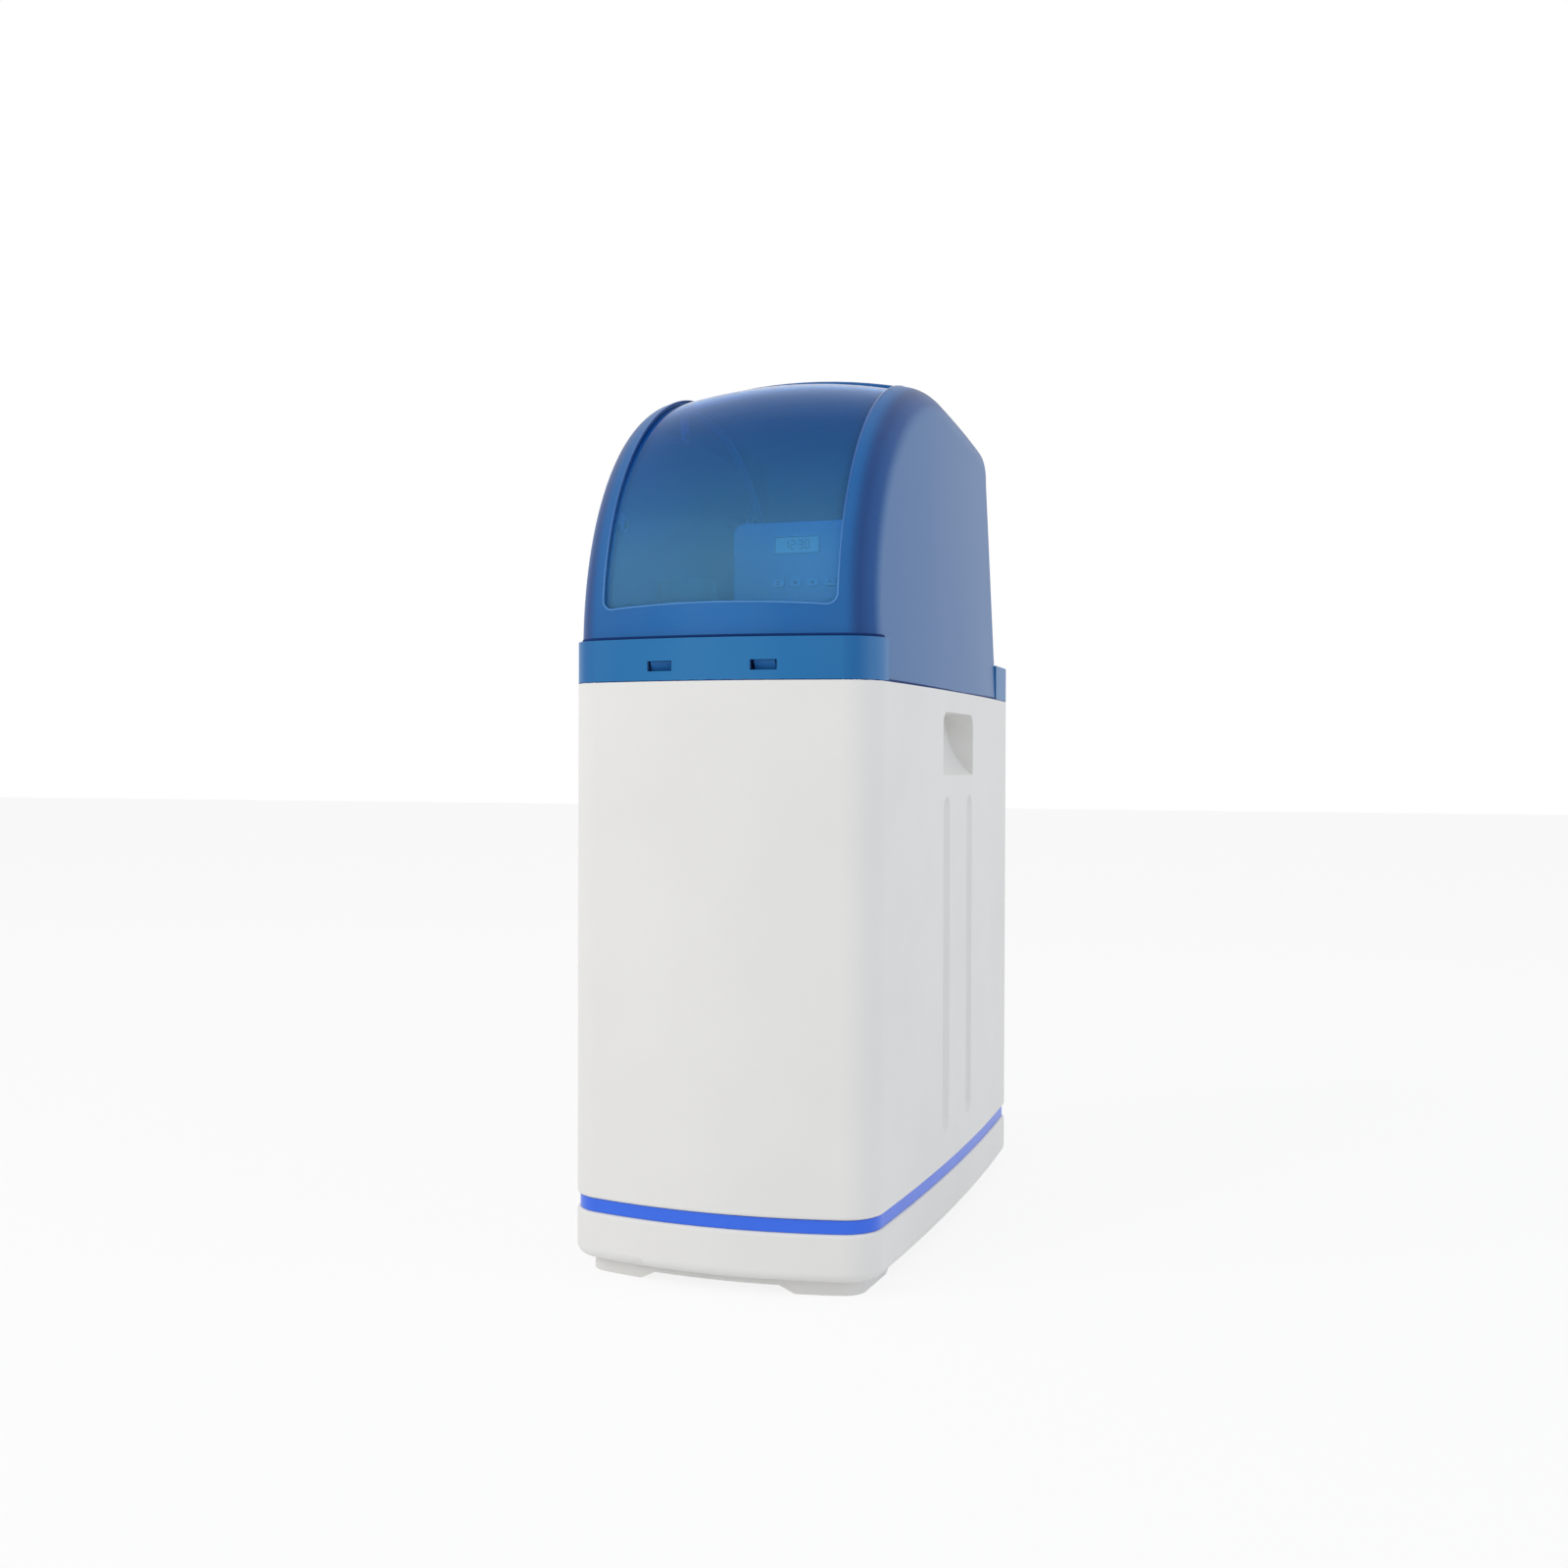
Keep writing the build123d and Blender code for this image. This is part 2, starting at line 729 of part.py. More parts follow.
# Window panel
with BuildPart() as window_panel:
    turn = math.radians(window_front_angle)
    start = Plane(origin=(0, dome_y, dome_z), x_dir=(1, 0, 0), z_dir=(0, -math.cos(turn), -math.sin(turn)))
    inner_inset = window_recess + window_thickness
    with BuildSketch(start):
        with BuildLine():
            outer = ThreePointArc(
                (-window_half, crown_radius(window_half, window_recess)),
                (0, dome_radius - window_recess),
                (window_half, crown_radius(window_half, window_recess)),
            )
            inner = ThreePointArc(
                (-window_half, crown_radius(window_half, inner_inset)),
                (0, dome_radius - inner_inset),
                (window_half, crown_radius(window_half, inner_inset)),
            )
            Line(outer @ 0, inner @ 0)
            Line(outer @ 1, inner @ 1)
        make_face()
    revolve(axis=Axis((0, dome_y, dome_z), (-1, 0, 0)), revolution_arc=window_front_angle + window_rear_angle)
window_panel.part.label = "window_panel"
export_step(window_panel.part, "parts/window_panel.step")

# Window rails, right and left
rail_top = crown_radius(boss_face, hood_wall) - 2 * rail_gap
rail_deck = crown_radius(window_half, inner_inset) - rail_gap
rail_web = window_half + rail_gap
for side, name in ((1, "right_rail"), (-1, "left_rail")):
    with BuildPart() as rail:
        turn = math.radians(rail_front_angle)
        start = Plane(origin=(0, dome_y, dome_z), x_dir=(1, 0, 0), z_dir=(0, -math.cos(turn), -math.sin(turn)))
        with BuildSketch(start):
            with BuildLine():
                Polyline(
                    (side * (boss_face - rail_flange), rail_deck),
                    (side * rail_web, rail_deck),
                    (side * rail_web, rail_top),
                    (side * boss_face, rail_top),
                    (side * boss_face, rail_deck - rail_thickness),
                    (side * (boss_face - rail_flange), rail_deck - rail_thickness),
                    close=True,
                )
            make_face()
        revolve(axis=Axis((0, dome_y, dome_z), (-1, 0, 0)), revolution_arc=rail_front_angle + rail_rear_angle)
        lug_low = rail_screw_radius - rail_lug_width / 2
        for angle in rail_lug_angles:
            y, z = dome_point((lug_low + rail_deck) / 2, angle)
            screw_y, screw_z = dome_point(rail_screw_radius, angle)
            with BuildSketch(Plane.YZ.offset(side * rail_web)):
                with Locations((y, z)):
                    SlotOverall(rail_deck - lug_low, rail_lug_width, rotation=90 + angle)
            extrude(amount=side * rail_thickness)
            with BuildSketch(Plane.YZ.offset(side * rail_web)):
                with Locations((screw_y, screw_z)):
                    Circle(screw_radius + pilot_gap)
            extrude(amount=side * rail_thickness, mode=Mode.SUBTRACT)
    rail.part.label = name
    export_step(rail.part, f"parts/{name}.step")

# Rail screws
with BuildPart() as rail_screws:
    for angle in rail_lug_angles:
        y, z = dome_point(rail_screw_radius, angle)
        with BuildSketch(Plane.YZ.offset(rail_web)):
            with Locations((y, z)):
                Circle(screw_head_radius)
        extrude(amount=-screw_head_height)
        with BuildSketch(Plane.YZ.offset(rail_web)):
            with Locations((y, z)):
                Circle(screw_radius)
        extrude(amount=screw_length)
    mirror(about=Plane.YZ)
rail_screws.part.label = "rail_screws"
export_step(rail_screws.part, "parts/rail_screws.step")


tank_axis = Axis((0, tank_y, 0), (0, 0, 1))


def turned_tank(grow):
    # The tank's outside as a solid of revolution, grown outwards
    side = tank_radius + grow
    low = tank_base - grow
    high = tank_top - neck_height + grow
    low_shoulder = tank_base + tank_dome
    high_shoulder = tank_top - neck_height - tank_dome
    with BuildPart(mode=Mode.PRIVATE) as solid:
        with BuildSketch(Plane.XZ.offset(-tank_y)):
            with BuildLine():
                bottom = EllipticalCenterArc((0, low_shoulder), side, low_shoulder - low, start_angle=270, arc_size=90)
                top = EllipticalCenterArc((0, high_shoulder), side, high - high_shoulder, start_angle=0, arc_size=90)
                Line(bottom @ 1, top @ 0)
                Line(top @ 1, bottom @ 0)
            make_face()
            with Locations((0, high_shoulder)):
                Rectangle(neck_radius + grow, tank_top - high_shoulder, align=(Align.MIN, Align.MIN))
        revolve(axis=tank_axis)
    return solid.part


# Resin tank
with BuildPart() as resin_tank:
    add(turned_tank(0))
    add(turned_tank(-tank_wall), mode=Mode.SUBTRACT)
    with BuildSketch(Plane.XY.offset(tank_top + overrun)):
        with Locations((0, tank_y)):
            Circle(neck_radius - tank_wall)
    extrude(amount=-overrun - neck_height - tank_wall, mode=Mode.SUBTRACT)
resin_tank.part.label = "resin_tank"
export_step(resin_tank.part, "parts/resin_tank.step")

# Tank boot
with BuildPart() as tank_boot:
    with BuildSketch(Plane.XY.offset(floor_height)):
        with Locations((0, tank_y)):
            Circle(tank_radius + fit_gap + boot_wall)
            Circle(boot_hollow_radius, mode=Mode.SUBTRACT)
    extrude(amount=boot_height)
    add(turned_tank(fit_gap), mode=Mode.SUBTRACT)
tank_boot.part.label = "tank_boot"
export_step(tank_boot.part, "parts/tank_boot.step")

# Resin bed, with the room that the riser and its strainer take
resin_top = tank_base + resin_share * tank_height
with BuildPart() as resin_bed:
    add(turned_tank(-tank_wall - fit_gap))
    with BuildSketch(Plane.XY.offset(resin_top)):
        with Locations((0, tank_y)):
            Circle(2 * tank_radius)
    extrude(amount=tank_height, mode=Mode.SUBTRACT)
    with BuildSketch(Plane.XY):
        with Locations((0, tank_y)):
            Circle(riser_radius + fit_gap)
    extrude(amount=tank_height, mode=Mode.SUBTRACT)
    with BuildSketch(Plane.XY.offset(riser_foot - fit_gap)):
        with Locations((0, tank_y)):
            Circle(strainer_radius + fit_gap)
    extrude(amount=strainer_height + 2 * fit_gap, mode=Mode.SUBTRACT)
resin_bed.part.label = "resin_bed"
export_step(resin_bed.part, "parts/resin_bed.step")

# Riser tube
riser_top = housing_bottom - fit_gap
with BuildPart() as riser_tube:
    with BuildSketch(Plane.XY.offset(riser_foot + strainer_height - tank_wall)):
        with Locations((0, tank_y)):
            Circle(riser_radius)
            Circle(riser_radius - riser_wall, mode=Mode.SUBTRACT)
    extrude(amount=riser_top - riser_foot - strainer_height + tank_wall)
riser_tube.part.label = "riser_tube"
export_step(riser_tube.part, "parts/riser_tube.step")


def slotted_basket(bottom, height, radius, wall, bore):
    # Strainer basket: a cup around the riser with upright slots in its wall
    with BuildPart(mode=Mode.PRIVATE) as basket:
        with BuildSketch(Plane.XY.offset(bottom)):
            with Locations((0, tank_y)):
                Circle(radius)
        extrude(amount=height)
        with BuildSketch(Plane.XY.offset(bottom + wall)):
            with Locations((0, tank_y)):
                Circle(radius - wall)
        extrude(amount=height - 2 * wall, mode=Mode.SUBTRACT)
        with BuildSketch(Plane.XY.offset(bottom + 2 * wall)):
            with Locations((0, tank_y)):
                with PolarLocations(radius, strainer_slots):
                    Rectangle(2 * wall + strainer_slot_width, strainer_slot_width)
        extrude(amount=height - 4 * wall, mode=Mode.SUBTRACT)
        with BuildSketch(Plane.XY.offset(bottom + height)):
            with Locations((0, tank_y)):
                Circle(bore)
        extrude(amount=-wall - overrun / 2, mode=Mode.SUBTRACT)
    return basket.part


# Strainers at the foot of the riser and under the valve
with BuildPart() as lower_strainer:
    add(slotted_basket(riser_foot, strainer_height, strainer_radius, tank_wall - fit_gap, riser_radius + fit_gap / 2))
lower_strainer.part.label = "lower_strainer"
export_step(lower_strainer.part, "parts/lower_strainer.step")

with BuildPart() as upper_strainer:
    add(slotted_basket(tank_top - upper_strainer_height, upper_strainer_height, upper_strainer_radius,
                       riser_wall, riser_radius + fit_gap))
    with BuildSketch(Plane.XY.offset(tank_top - upper_strainer_height - overrun)):
        with Locations((0, tank_y)):
            Circle(riser_radius + fit_gap)
    extrude(amount=2 * overrun, mode=Mode.SUBTRACT)
upper_strainer.part.label = "upper_strainer"
export_step(upper_strainer.part, "parts/upper_strainer.step")

# Valve body
with BuildPart() as valve_body:
    with BuildSketch(Plane.XY.offset(valve_base)):
        with Locations((0, tank_y)):
            Circle(valve_collar_radius)
    extrude(amount=valve_collar_height)
    with BuildSketch(Plane.XY.offset(housing_bottom)):
        with Locations((0, tank_y)):
            Circle(housing_radius)
    extrude(amount=housing_top - housing_bottom)
    with BuildSketch(Plane.XZ.offset(-tank_y)):
        with Locations((-port_x, port_height), (port_x, port_height)):
            Circle(port_radius)
    extrude(amount=tank_y - port_back)
    with BuildSketch(Plane.XZ.offset(-port_back)):
        with Locations((-port_x, port_height), (port_x, port_height)):
            Circle(flange_radius)
    extrude(amount=flange_thickness)
    with BuildSketch(Plane.YZ):
        with Locations((side_port_y, port_height)):
            Circle(side_port_radius)
    extrude(amount=side_port_reach, both=True)
    with BuildSketch(Plane.XY.offset(valve_base - overrun)):
        with Locations((0, tank_y)):
            Circle(neck_radius + fit_gap)
    extrude(amount=overrun + neck_height, mode=Mode.SUBTRACT)
    with BuildSketch(Plane.XY.offset(valve_base)):
        with Locations((0, tank_y)):
            Circle(riser_radius + fit_gap)
    extrude(amount=valve_collar_height, mode=Mode.SUBTRACT)
    with BuildSketch(Plane.XY.offset(disc_seat)):
        with Locations((0, tank_y)):
            Circle(disc_radius + fit_gap)
    extrude(amount=housing_top - disc_seat, mode=Mode.SUBTRACT)
    with BuildSketch(Plane.XY.offset(disc_seat)):
        with Locations((0, tank_y)):
            with PolarLocations(disc_port_circle, disc_ports):
                Circle(disc_port_radius)
    extrude(amount=port_height - disc_seat, mode=Mode.SUBTRACT)
    with BuildSketch(Plane.XZ.offset(-port_back)):
        with Locations((-port_x, port_height), (port_x, port_height)):
            Circle(port_bore)
    extrude(amount=port_back - tank_y - port_radius, mode=Mode.SUBTRACT)
    with BuildSketch(Plane.YZ.offset(side_port_reach)):
        with Locations((side_port_y, port_height)):
            Circle(side_port_bore)
    right_bore = extrude(amount=-side_port_reach / 2, mode=Mode.SUBTRACT)
    mirror(right_bore, about=Plane.YZ, mode=Mode.SUBTRACT)
    with BuildSketch(Plane.XY.offset(housing_top)):
        with Locations((0, tank_y)):
            with PolarLocations(plate_screw_circle, plate_screw_count, start_angle=plate_screw_start):
                Circle(plate_screw_radius + pilot_gap)
    extrude(amount=-screw_length - plate_thickness, mode=Mode.SUBTRACT)
valve_body.part.label = "valve_body"
export_step(valve_body.part, "parts/valve_body.step")

# Ceramic discs: the fixed one has round ports, the moving one links them
with BuildPart() as fixed_disc:
    with BuildSketch(Plane.XY.offset(disc_seat)):
        with Locations((0, tank_y)):
            Circle(disc_radius)
            with PolarLocations(disc_port_circle, disc_ports):
                Circle(disc_port_radius, mode=Mode.SUBTRACT)
    extrude(amount=disc_thickness)
fixed_disc.part.label = "fixed_disc"
export_step(fixed_disc.part, "parts/fixed_disc.step")

moving_bottom = disc_seat + disc_thickness + disc_gap
moving_top = moving_bottom + disc_thickness
port_step = 360 / disc_ports
with BuildPart() as moving_disc:
    with BuildSketch(Plane.XY.offset(moving_bottom)):
        with Locations((0, tank_y)):
            Circle(disc_radius - fit_gap)
    extrude(amount=disc_thickness)
    with BuildSketch(Plane.XY.offset(moving_bottom)):
        with Locations((0, tank_y)):
            for kidney in range(1, disc_ports, 2):
                SlotArc(CenterArc((0, 0), disc_port_circle, (kidney - 0.5) * port_step, port_step), 2 * disc_port_radius)
    extrude(amount=disc_thickness / 2, mode=Mode.SUBTRACT)
moving_disc.part.label = "moving_disc"
export_step(moving_disc.part, "parts/moving_disc.step")

# Drive shaft of the moving disc, with a square end for the gear
with BuildPart() as disc_shaft:
    with BuildSketch(Plane.XY.offset(moving_top)):
        with Locations((0, tank_y)):
            Circle(shaft_flange_radius)
    extrude(amount=shaft_flange_thickness)
    with BuildSketch(Plane.XY.offset(moving_top)):
        with Locations((0, tank_y)):
            Circle(shaft_radius)
    extrude(amount=gear_bottom - moving_top)
    with BuildSketch(Plane.XY.offset(gear_bottom)):
        with Locations((0, tank_y)):
            Rectangle(square_drive, square_drive)
    extrude(amount=gear_width)
disc_shaft.part.label = "disc_shaft"
export_step(disc_shaft.part, "parts/disc_shaft.step")


def involute(radius, base_radius):
    # Involute function of the pressure angle at a radius
    angle = math.acos(min(1.0, base_radius / radius))
    return math.tan(angle) - angle


def gear_outline(teeth, centre, first_angle):
    # Spur gear outline: involute flanks drawn as arcs through root, pitch and tip
    pitch = gear_module * teeth / 2
    tip = pitch + gear_module
    root = pitch - dedendum_share * gear_module
    base_radius = pitch * math.cos(math.radians(pressure_angle))
    half_pitch = math.pi / (2 * teeth) - gear_backlash / (2 * pitch)
    at_pitch = involute(pitch, base_radius)
    flank = []
    for radius in (root, max(root, base_radius) / 2 + pitch / 2, tip):
        reach = max(radius, base_radius)
        flank.append((radius, half_pitch + at_pitch - involute(reach, base_radius)))
    step = 2 * math.pi / teeth
    with BuildSketch(mode=Mode.PRIVATE) as outline:
        with BuildLine():
            for tooth in range(teeth):
                middle = math.radians(first_angle) + tooth * step
                rise = [Vector(r * math.cos(middle - a), r * math.sin(middle - a)) for r, a in flank]
                fall = [Vector(r * math.cos(middle + a), r * math.sin(middle + a)) for r, a in reversed(flank)]
                follow = middle + step - flank[0][1]
                ThreePointArc(*rise)
                Line(rise[2], fall[0])
                ThreePointArc(*fall)
                Line(fall[2], Vector(root * math.cos(follow), root * math.sin(follow)))
        make_face()
    return outline.sketch.locate(Location((centre[0], centre[1], 0)))


# Driven gear on the disc shaft, in mesh with the motor's pinion
with BuildPart() as driven_gear:
    with BuildSketch(Plane.XY.offset(gear_bottom)):
        add(gear_outline(gear_teeth, (0, tank_y), 270 + 180 / gear_teeth))
    extrude(amount=gear_width)
    gear_root = gear_module * gear_teeth / 2 - dedendum_share * gear_module
    hub_radius = plate_boss_radius
    with BuildSketch(Plane.XY.offset(gear_bottom + gear_web)):
        with Locations((0, tank_y)):
            Circle(gear_root - gear_web)
            Circle(hub_radius, mode=Mode.SUBTRACT)
    extrude(amount=gear_width, mode=Mode.SUBTRACT)
    with BuildSketch(Plane.XY.offset(gear_bottom)):
        with Locations((0, tank_y)):
            with PolarLocations((gear_root + hub_radius) / 2, gear_spokes):
                Circle((gear_root - hub_radius) / 4)
            Rectangle(square_drive + fit_gap, square_drive + fit_gap)
    extrude(amount=gear_width, mode=Mode.SUBTRACT)
driven_gear.part.label = "driven_gear"
export_step(driven_gear.part, "parts/driven_gear.step")

with BuildPart() as pinion_gear:
    with BuildSketch(Plane.XY.offset(gear_bottom)):
        add(gear_outline(pinion_teeth, (0, pinion_y), 90))
        with Locations((0, pinion_y)):
            Circle(motor_shaft_radius + running_gap, mode=Mode.SUBTRACT)
    extrude(amount=gear_width)
pinion_gear.part.label = "pinion_gear"
export_step(pinion_gear.part, "parts/pinion_gear.step")

# Gear plate that closes the housing and carries the motor
plate_top = housing_top + plate_thickness
plate_width = cover_width - 2 * cover_wall - 2 * fit_gap
plate_front = board_y + board_thickness + cover_wall
plate_back = cover_back - cover_wall - fit_gap
with BuildPart() as gear_plate:
    with BuildSketch(Plane.XY.offset(housing_top)) as plate_plan:
        with Locations((0, (plate_front + plate_back) / 2)):
            Rectangle(plate_width, plate_back - plate_front)
        fillet(plate_plan.vertices().group_by(Axis.Y)[-1], cover_round - cover_wall)
    extrude(amount=plate_thickness)
    with BuildSketch(Plane.XY.offset(housing_top)):
        with Locations((0, tank_y)):
            Circle(plate_boss_radius)
    extrude(amount=gear_bottom - housing_top - fit_gap)
    with BuildSketch(Plane.XY.offset(housing_top)):
        with Locations((0, tank_y)):
            Circle(shaft_radius + running_gap)
            with PolarLocations(plate_screw_circle, plate_screw_count, start_angle=plate_screw_start):
                Circle(plate_screw_radius + pilot_gap)
        with Locations((0, pinion_y)):
            Circle(motor_shaft_radius + fit_gap)
    extrude(amount=gear_bottom - housing_top, mode=Mode.SUBTRACT)
gear_plate.part.label = "gear_plate"
export_step(gear_plate.part, "parts/gear_plate.step")

with BuildPart() as plate_screws:
    with BuildSketch(Plane.XY.offset(plate_top)):
        with Locations((0, tank_y)):
            with PolarLocations(plate_screw_circle, plate_screw_count, start_angle=plate_screw_start):
                Circle(2 * plate_screw_radius)
    extrude(amount=screw_head_height)
    with BuildSketch(Plane.XY.offset(plate_top)):
        with Locations((0, tank_y)):
            with PolarLocations(plate_screw_circle, plate_screw_count, start_angle=plate_screw_start):
                Circle(plate_screw_radius)
    extrude(amount=-screw_length - plate_thickness)
plate_screws.part.label = "plate_screws"
export_step(plate_screws.part, "parts/plate_screws.step")

# Geared motor under the plate
with BuildPart() as drive_motor:
    with BuildSketch(Plane.XY.offset(housing_top)):
        with Locations((0, pinion_y)):
            Circle(motor_radius)
    extrude(amount=-motor_height)
    fillet(drive_motor.faces().sort_by(Axis.Z)[0].edges(), edge_round)
    with BuildSketch(Plane.XY.offset(housing_top)):
        with Locations((0, pinion_y)):
            Circle(motor_shaft_radius)
    extrude(amount=gear_bottom + gear_width - housing_top)
drive_motor.part.label = "drive_motor"
export_step(drive_motor.part, "parts/drive_motor.step")

# Valve cover, open below and in front
with BuildPart() as valve_cover:
    with BuildSketch(Plane.XY.offset(cover_bottom)):
        with Locations((0, (cover_front + cover_back) / 2)):
            Rectangle(cover_width, cover_back - cover_front)
    extrude(amount=cover_height)
    top_face = valve_cover.faces().sort_by(Axis.Z)[-1]
    back_face = valve_cover.faces().sort_by(Axis.Y)[-1]
    side_edges = top_face.edges().filter_by(Axis.Y)
    fillet(side_edges + back_face.edges().filter_by(lambda edge: edge.center().Z > cover_bottom + fit_gap), cover_round)
    with BuildPart(mode=Mode.PRIVATE) as cover_room:
        with BuildSketch(Plane.XY.offset(cover_bottom - overrun)):
            with Locations((0, cover_front - overrun)):
                Rectangle(cover_width - 2 * cover_wall, cover_back - cover_wall - cover_front + overrun,
                          align=(Align.CENTER, Align.MIN))
        extrude(amount=cover_height + overrun - cover_wall)
        room_top = cover_room.faces().sort_by(Axis.Z)[-1]
        room_back = cover_room.faces().sort_by(Axis.Y)[-1]
        room_edges = room_top.edges().filter_by(Axis.Y)
        fillet(room_edges + room_back.edges().filter_by(lambda edge: edge.center().Z > cover_bottom),
               cover_round - cover_wall)
    add(cover_room.part, mode=Mode.SUBTRACT)
    post_x = cover_width / 2 - cover_post_inset
    post_front = plate_front + cover_post_inset / 2
    post_back = plate_back - cover_post_inset / 2
    with BuildSketch(Plane.XY.offset(plate_top)):
        with Locations((-post_x, post_front), (post_x, post_front), (-post_x, post_back), (post_x, post_back)):
            Circle(cover_post_radius)
    extrude(amount=cover_top - cover_wall - plate_top)
    with BuildSketch(Plane(origin=(socket_x, cover_back, socket_z), x_dir=(1, 0, 0), z_dir=(0, -1, 0))):
        Circle(socket_radius - socket_neck / 2)
    extrude(amount=2 * cover_wall, mode=Mode.SUBTRACT)
valve_cover.part.label = "valve_cover"
export_step(valve_cover.part, "parts/valve_cover.step")

# Power inlet in the back of the cover
with BuildPart() as power_socket:
    with BuildSketch(Plane.XZ.offset(-cover_back)):
        with Locations((socket_x, socket_z)):
            Circle(socket_radius)
    extrude(amount=-cover_wall)
    with BuildSketch(Plane.XZ.offset(-cover_back)):
        with Locations((socket_x, socket_z)):
            Circle(socket_radius - socket_neck)
    extrude(amount=socket_length)
    with BuildSketch(Plane.XZ.offset(-cover_back - cover_wall)):
        with Locations((socket_x, socket_z)):
            Circle(socket_hole)
    extrude(amount=socket_length, mode=Mode.SUBTRACT)
power_socket.part.label = "power_socket"
export_step(power_socket.part, "parts/power_socket.step")

# Control panel on the cover's front, with a window for the display and holes for the buttons
button_x = [(place - 1.5) * button_spacing for place in range(4)]
panel_face = cover_front - panel_depth
post_places = [
    (sign * (board_width / 2 - panel_post_inset), height)
    for sign in (-1, 1)
    for height in (board_bottom + panel_post_inset, board_top - panel_post_inset)
]
with BuildPart() as control_panel:
    with BuildSketch(Plane.XZ.offset(-cover_front)) as panel_plan:
        with Locations((0, (cover_bottom + cover_top) / 2)):
            Rectangle(cover_width, cover_height)
        fillet(panel_plan.vertices().group_by(Axis.Y)[-1], cover_round)
    extrude(amount=panel_depth)
    fillet(control_panel.faces().sort_by(Axis.Y)[0].edges(), panel_round)
    with BuildSketch(Plane.XZ.offset(-cover_front)) as panel_room:
        with Locations((0, (cover_bottom + cover_top) / 2)):
            Rectangle(cover_width - 2 * cover_wall, cover_height - 2 * cover_wall)
        fillet(panel_room.vertices().group_by(Axis.Y)[-1], cover_round - cover_wall)
    extrude(amount=panel_depth - panel_skin, mode=Mode.SUBTRACT)
    with BuildSketch(Plane.XZ.offset(-panel_face)):
        with Locations((lens_x, lens_height_at)):
            Rectangle(lens_width, lens_height)
        for x in button_x:
            with Locations((x, button_height_at)):
                RectangleRounded(button_width + 2 * fit_gap, button_height + 2 * fit_gap, button_corner + fit_gap)
    extrude(amount=-panel_skin, mode=Mode.SUBTRACT)
    with BuildSketch(Plane.XZ.offset(-panel_face - panel_skin)):
        with Locations(*post_places):
            Circle(panel_post_radius)
    extrude(amount=panel_face + panel_skin - board_y)
control_panel.part.label = "control_panel"
export_step(control_panel.part, "parts/control_panel.step")

# Display lens in its window, flush but for a small step
with BuildPart() as display_lens:
    with BuildSketch(Plane.XZ.offset(-panel_face - fit_gap)):
        with Locations((lens_x, lens_height_at)):
            Rectangle(lens_width - fit_gap, lens_height - fit_gap)
    extrude(amount=-lens_thickness)
display_lens.part.label = "display_lens"
export_step(display_lens.part, "parts/display_lens.step")

# Four buttons, held behind the panel by a flange
button_names = ("menu_button", "confirm_button", "down_button", "up_button")
for x, name in zip(button_x, button_names):
    with BuildPart() as button:
        with BuildSketch(Plane.XZ.offset(-panel_face - panel_skin - fit_gap)):
            with Locations((x, button_height_at)):
                RectangleRounded(button_width, button_height, button_corner)
        extrude(amount=panel_skin + fit_gap + button_stand)
        fillet(button.faces().sort_by(Axis.Y)[0].edges(), button_stand / 2)
        with BuildSketch(Plane.XZ.offset(-panel_face - panel_skin - fit_gap)):
            with Locations((x, button_height_at)):
                Rectangle(button_width + 2 * button_flange, button_height + 2 * button_flange)
        extrude(amount=-button_flange_thickness)
    button.part.label = name
    export_step(button.part, f"parts/{name}.step")

# Circuit board with a switch behind each button
button_back = panel_face + panel_skin + fit_gap + button_flange_thickness
with BuildPart() as circuit_board:
    with BuildSketch(Plane.XZ.offset(-board_y)):
        with Locations((0, (board_bottom + board_top) / 2)):
            Rectangle(board_width, board_height)
    extrude(amount=-board_thickness)
    with BuildSketch(Plane.XZ.offset(-board_y)):
        for x in button_x:
            with Locations((x, button_height_at)):
                Rectangle(switch_size, switch_size)
        with Locations((lens_x, lens_height_at)):
            Rectangle(lens_width, lens_height)
    extrude(amount=switch_height)
    with BuildSketch(Plane.XZ.offset(-board_y + switch_height)):
        for x in button_x:
            with Locations((x, button_height_at)):
                Circle(switch_plunger)
    extrude(amount=board_y - switch_height - button_back - button_travel - disc_gap)
circuit_board.part.label = "circuit_board"
export_step(circuit_board.part, "parts/circuit_board.step")

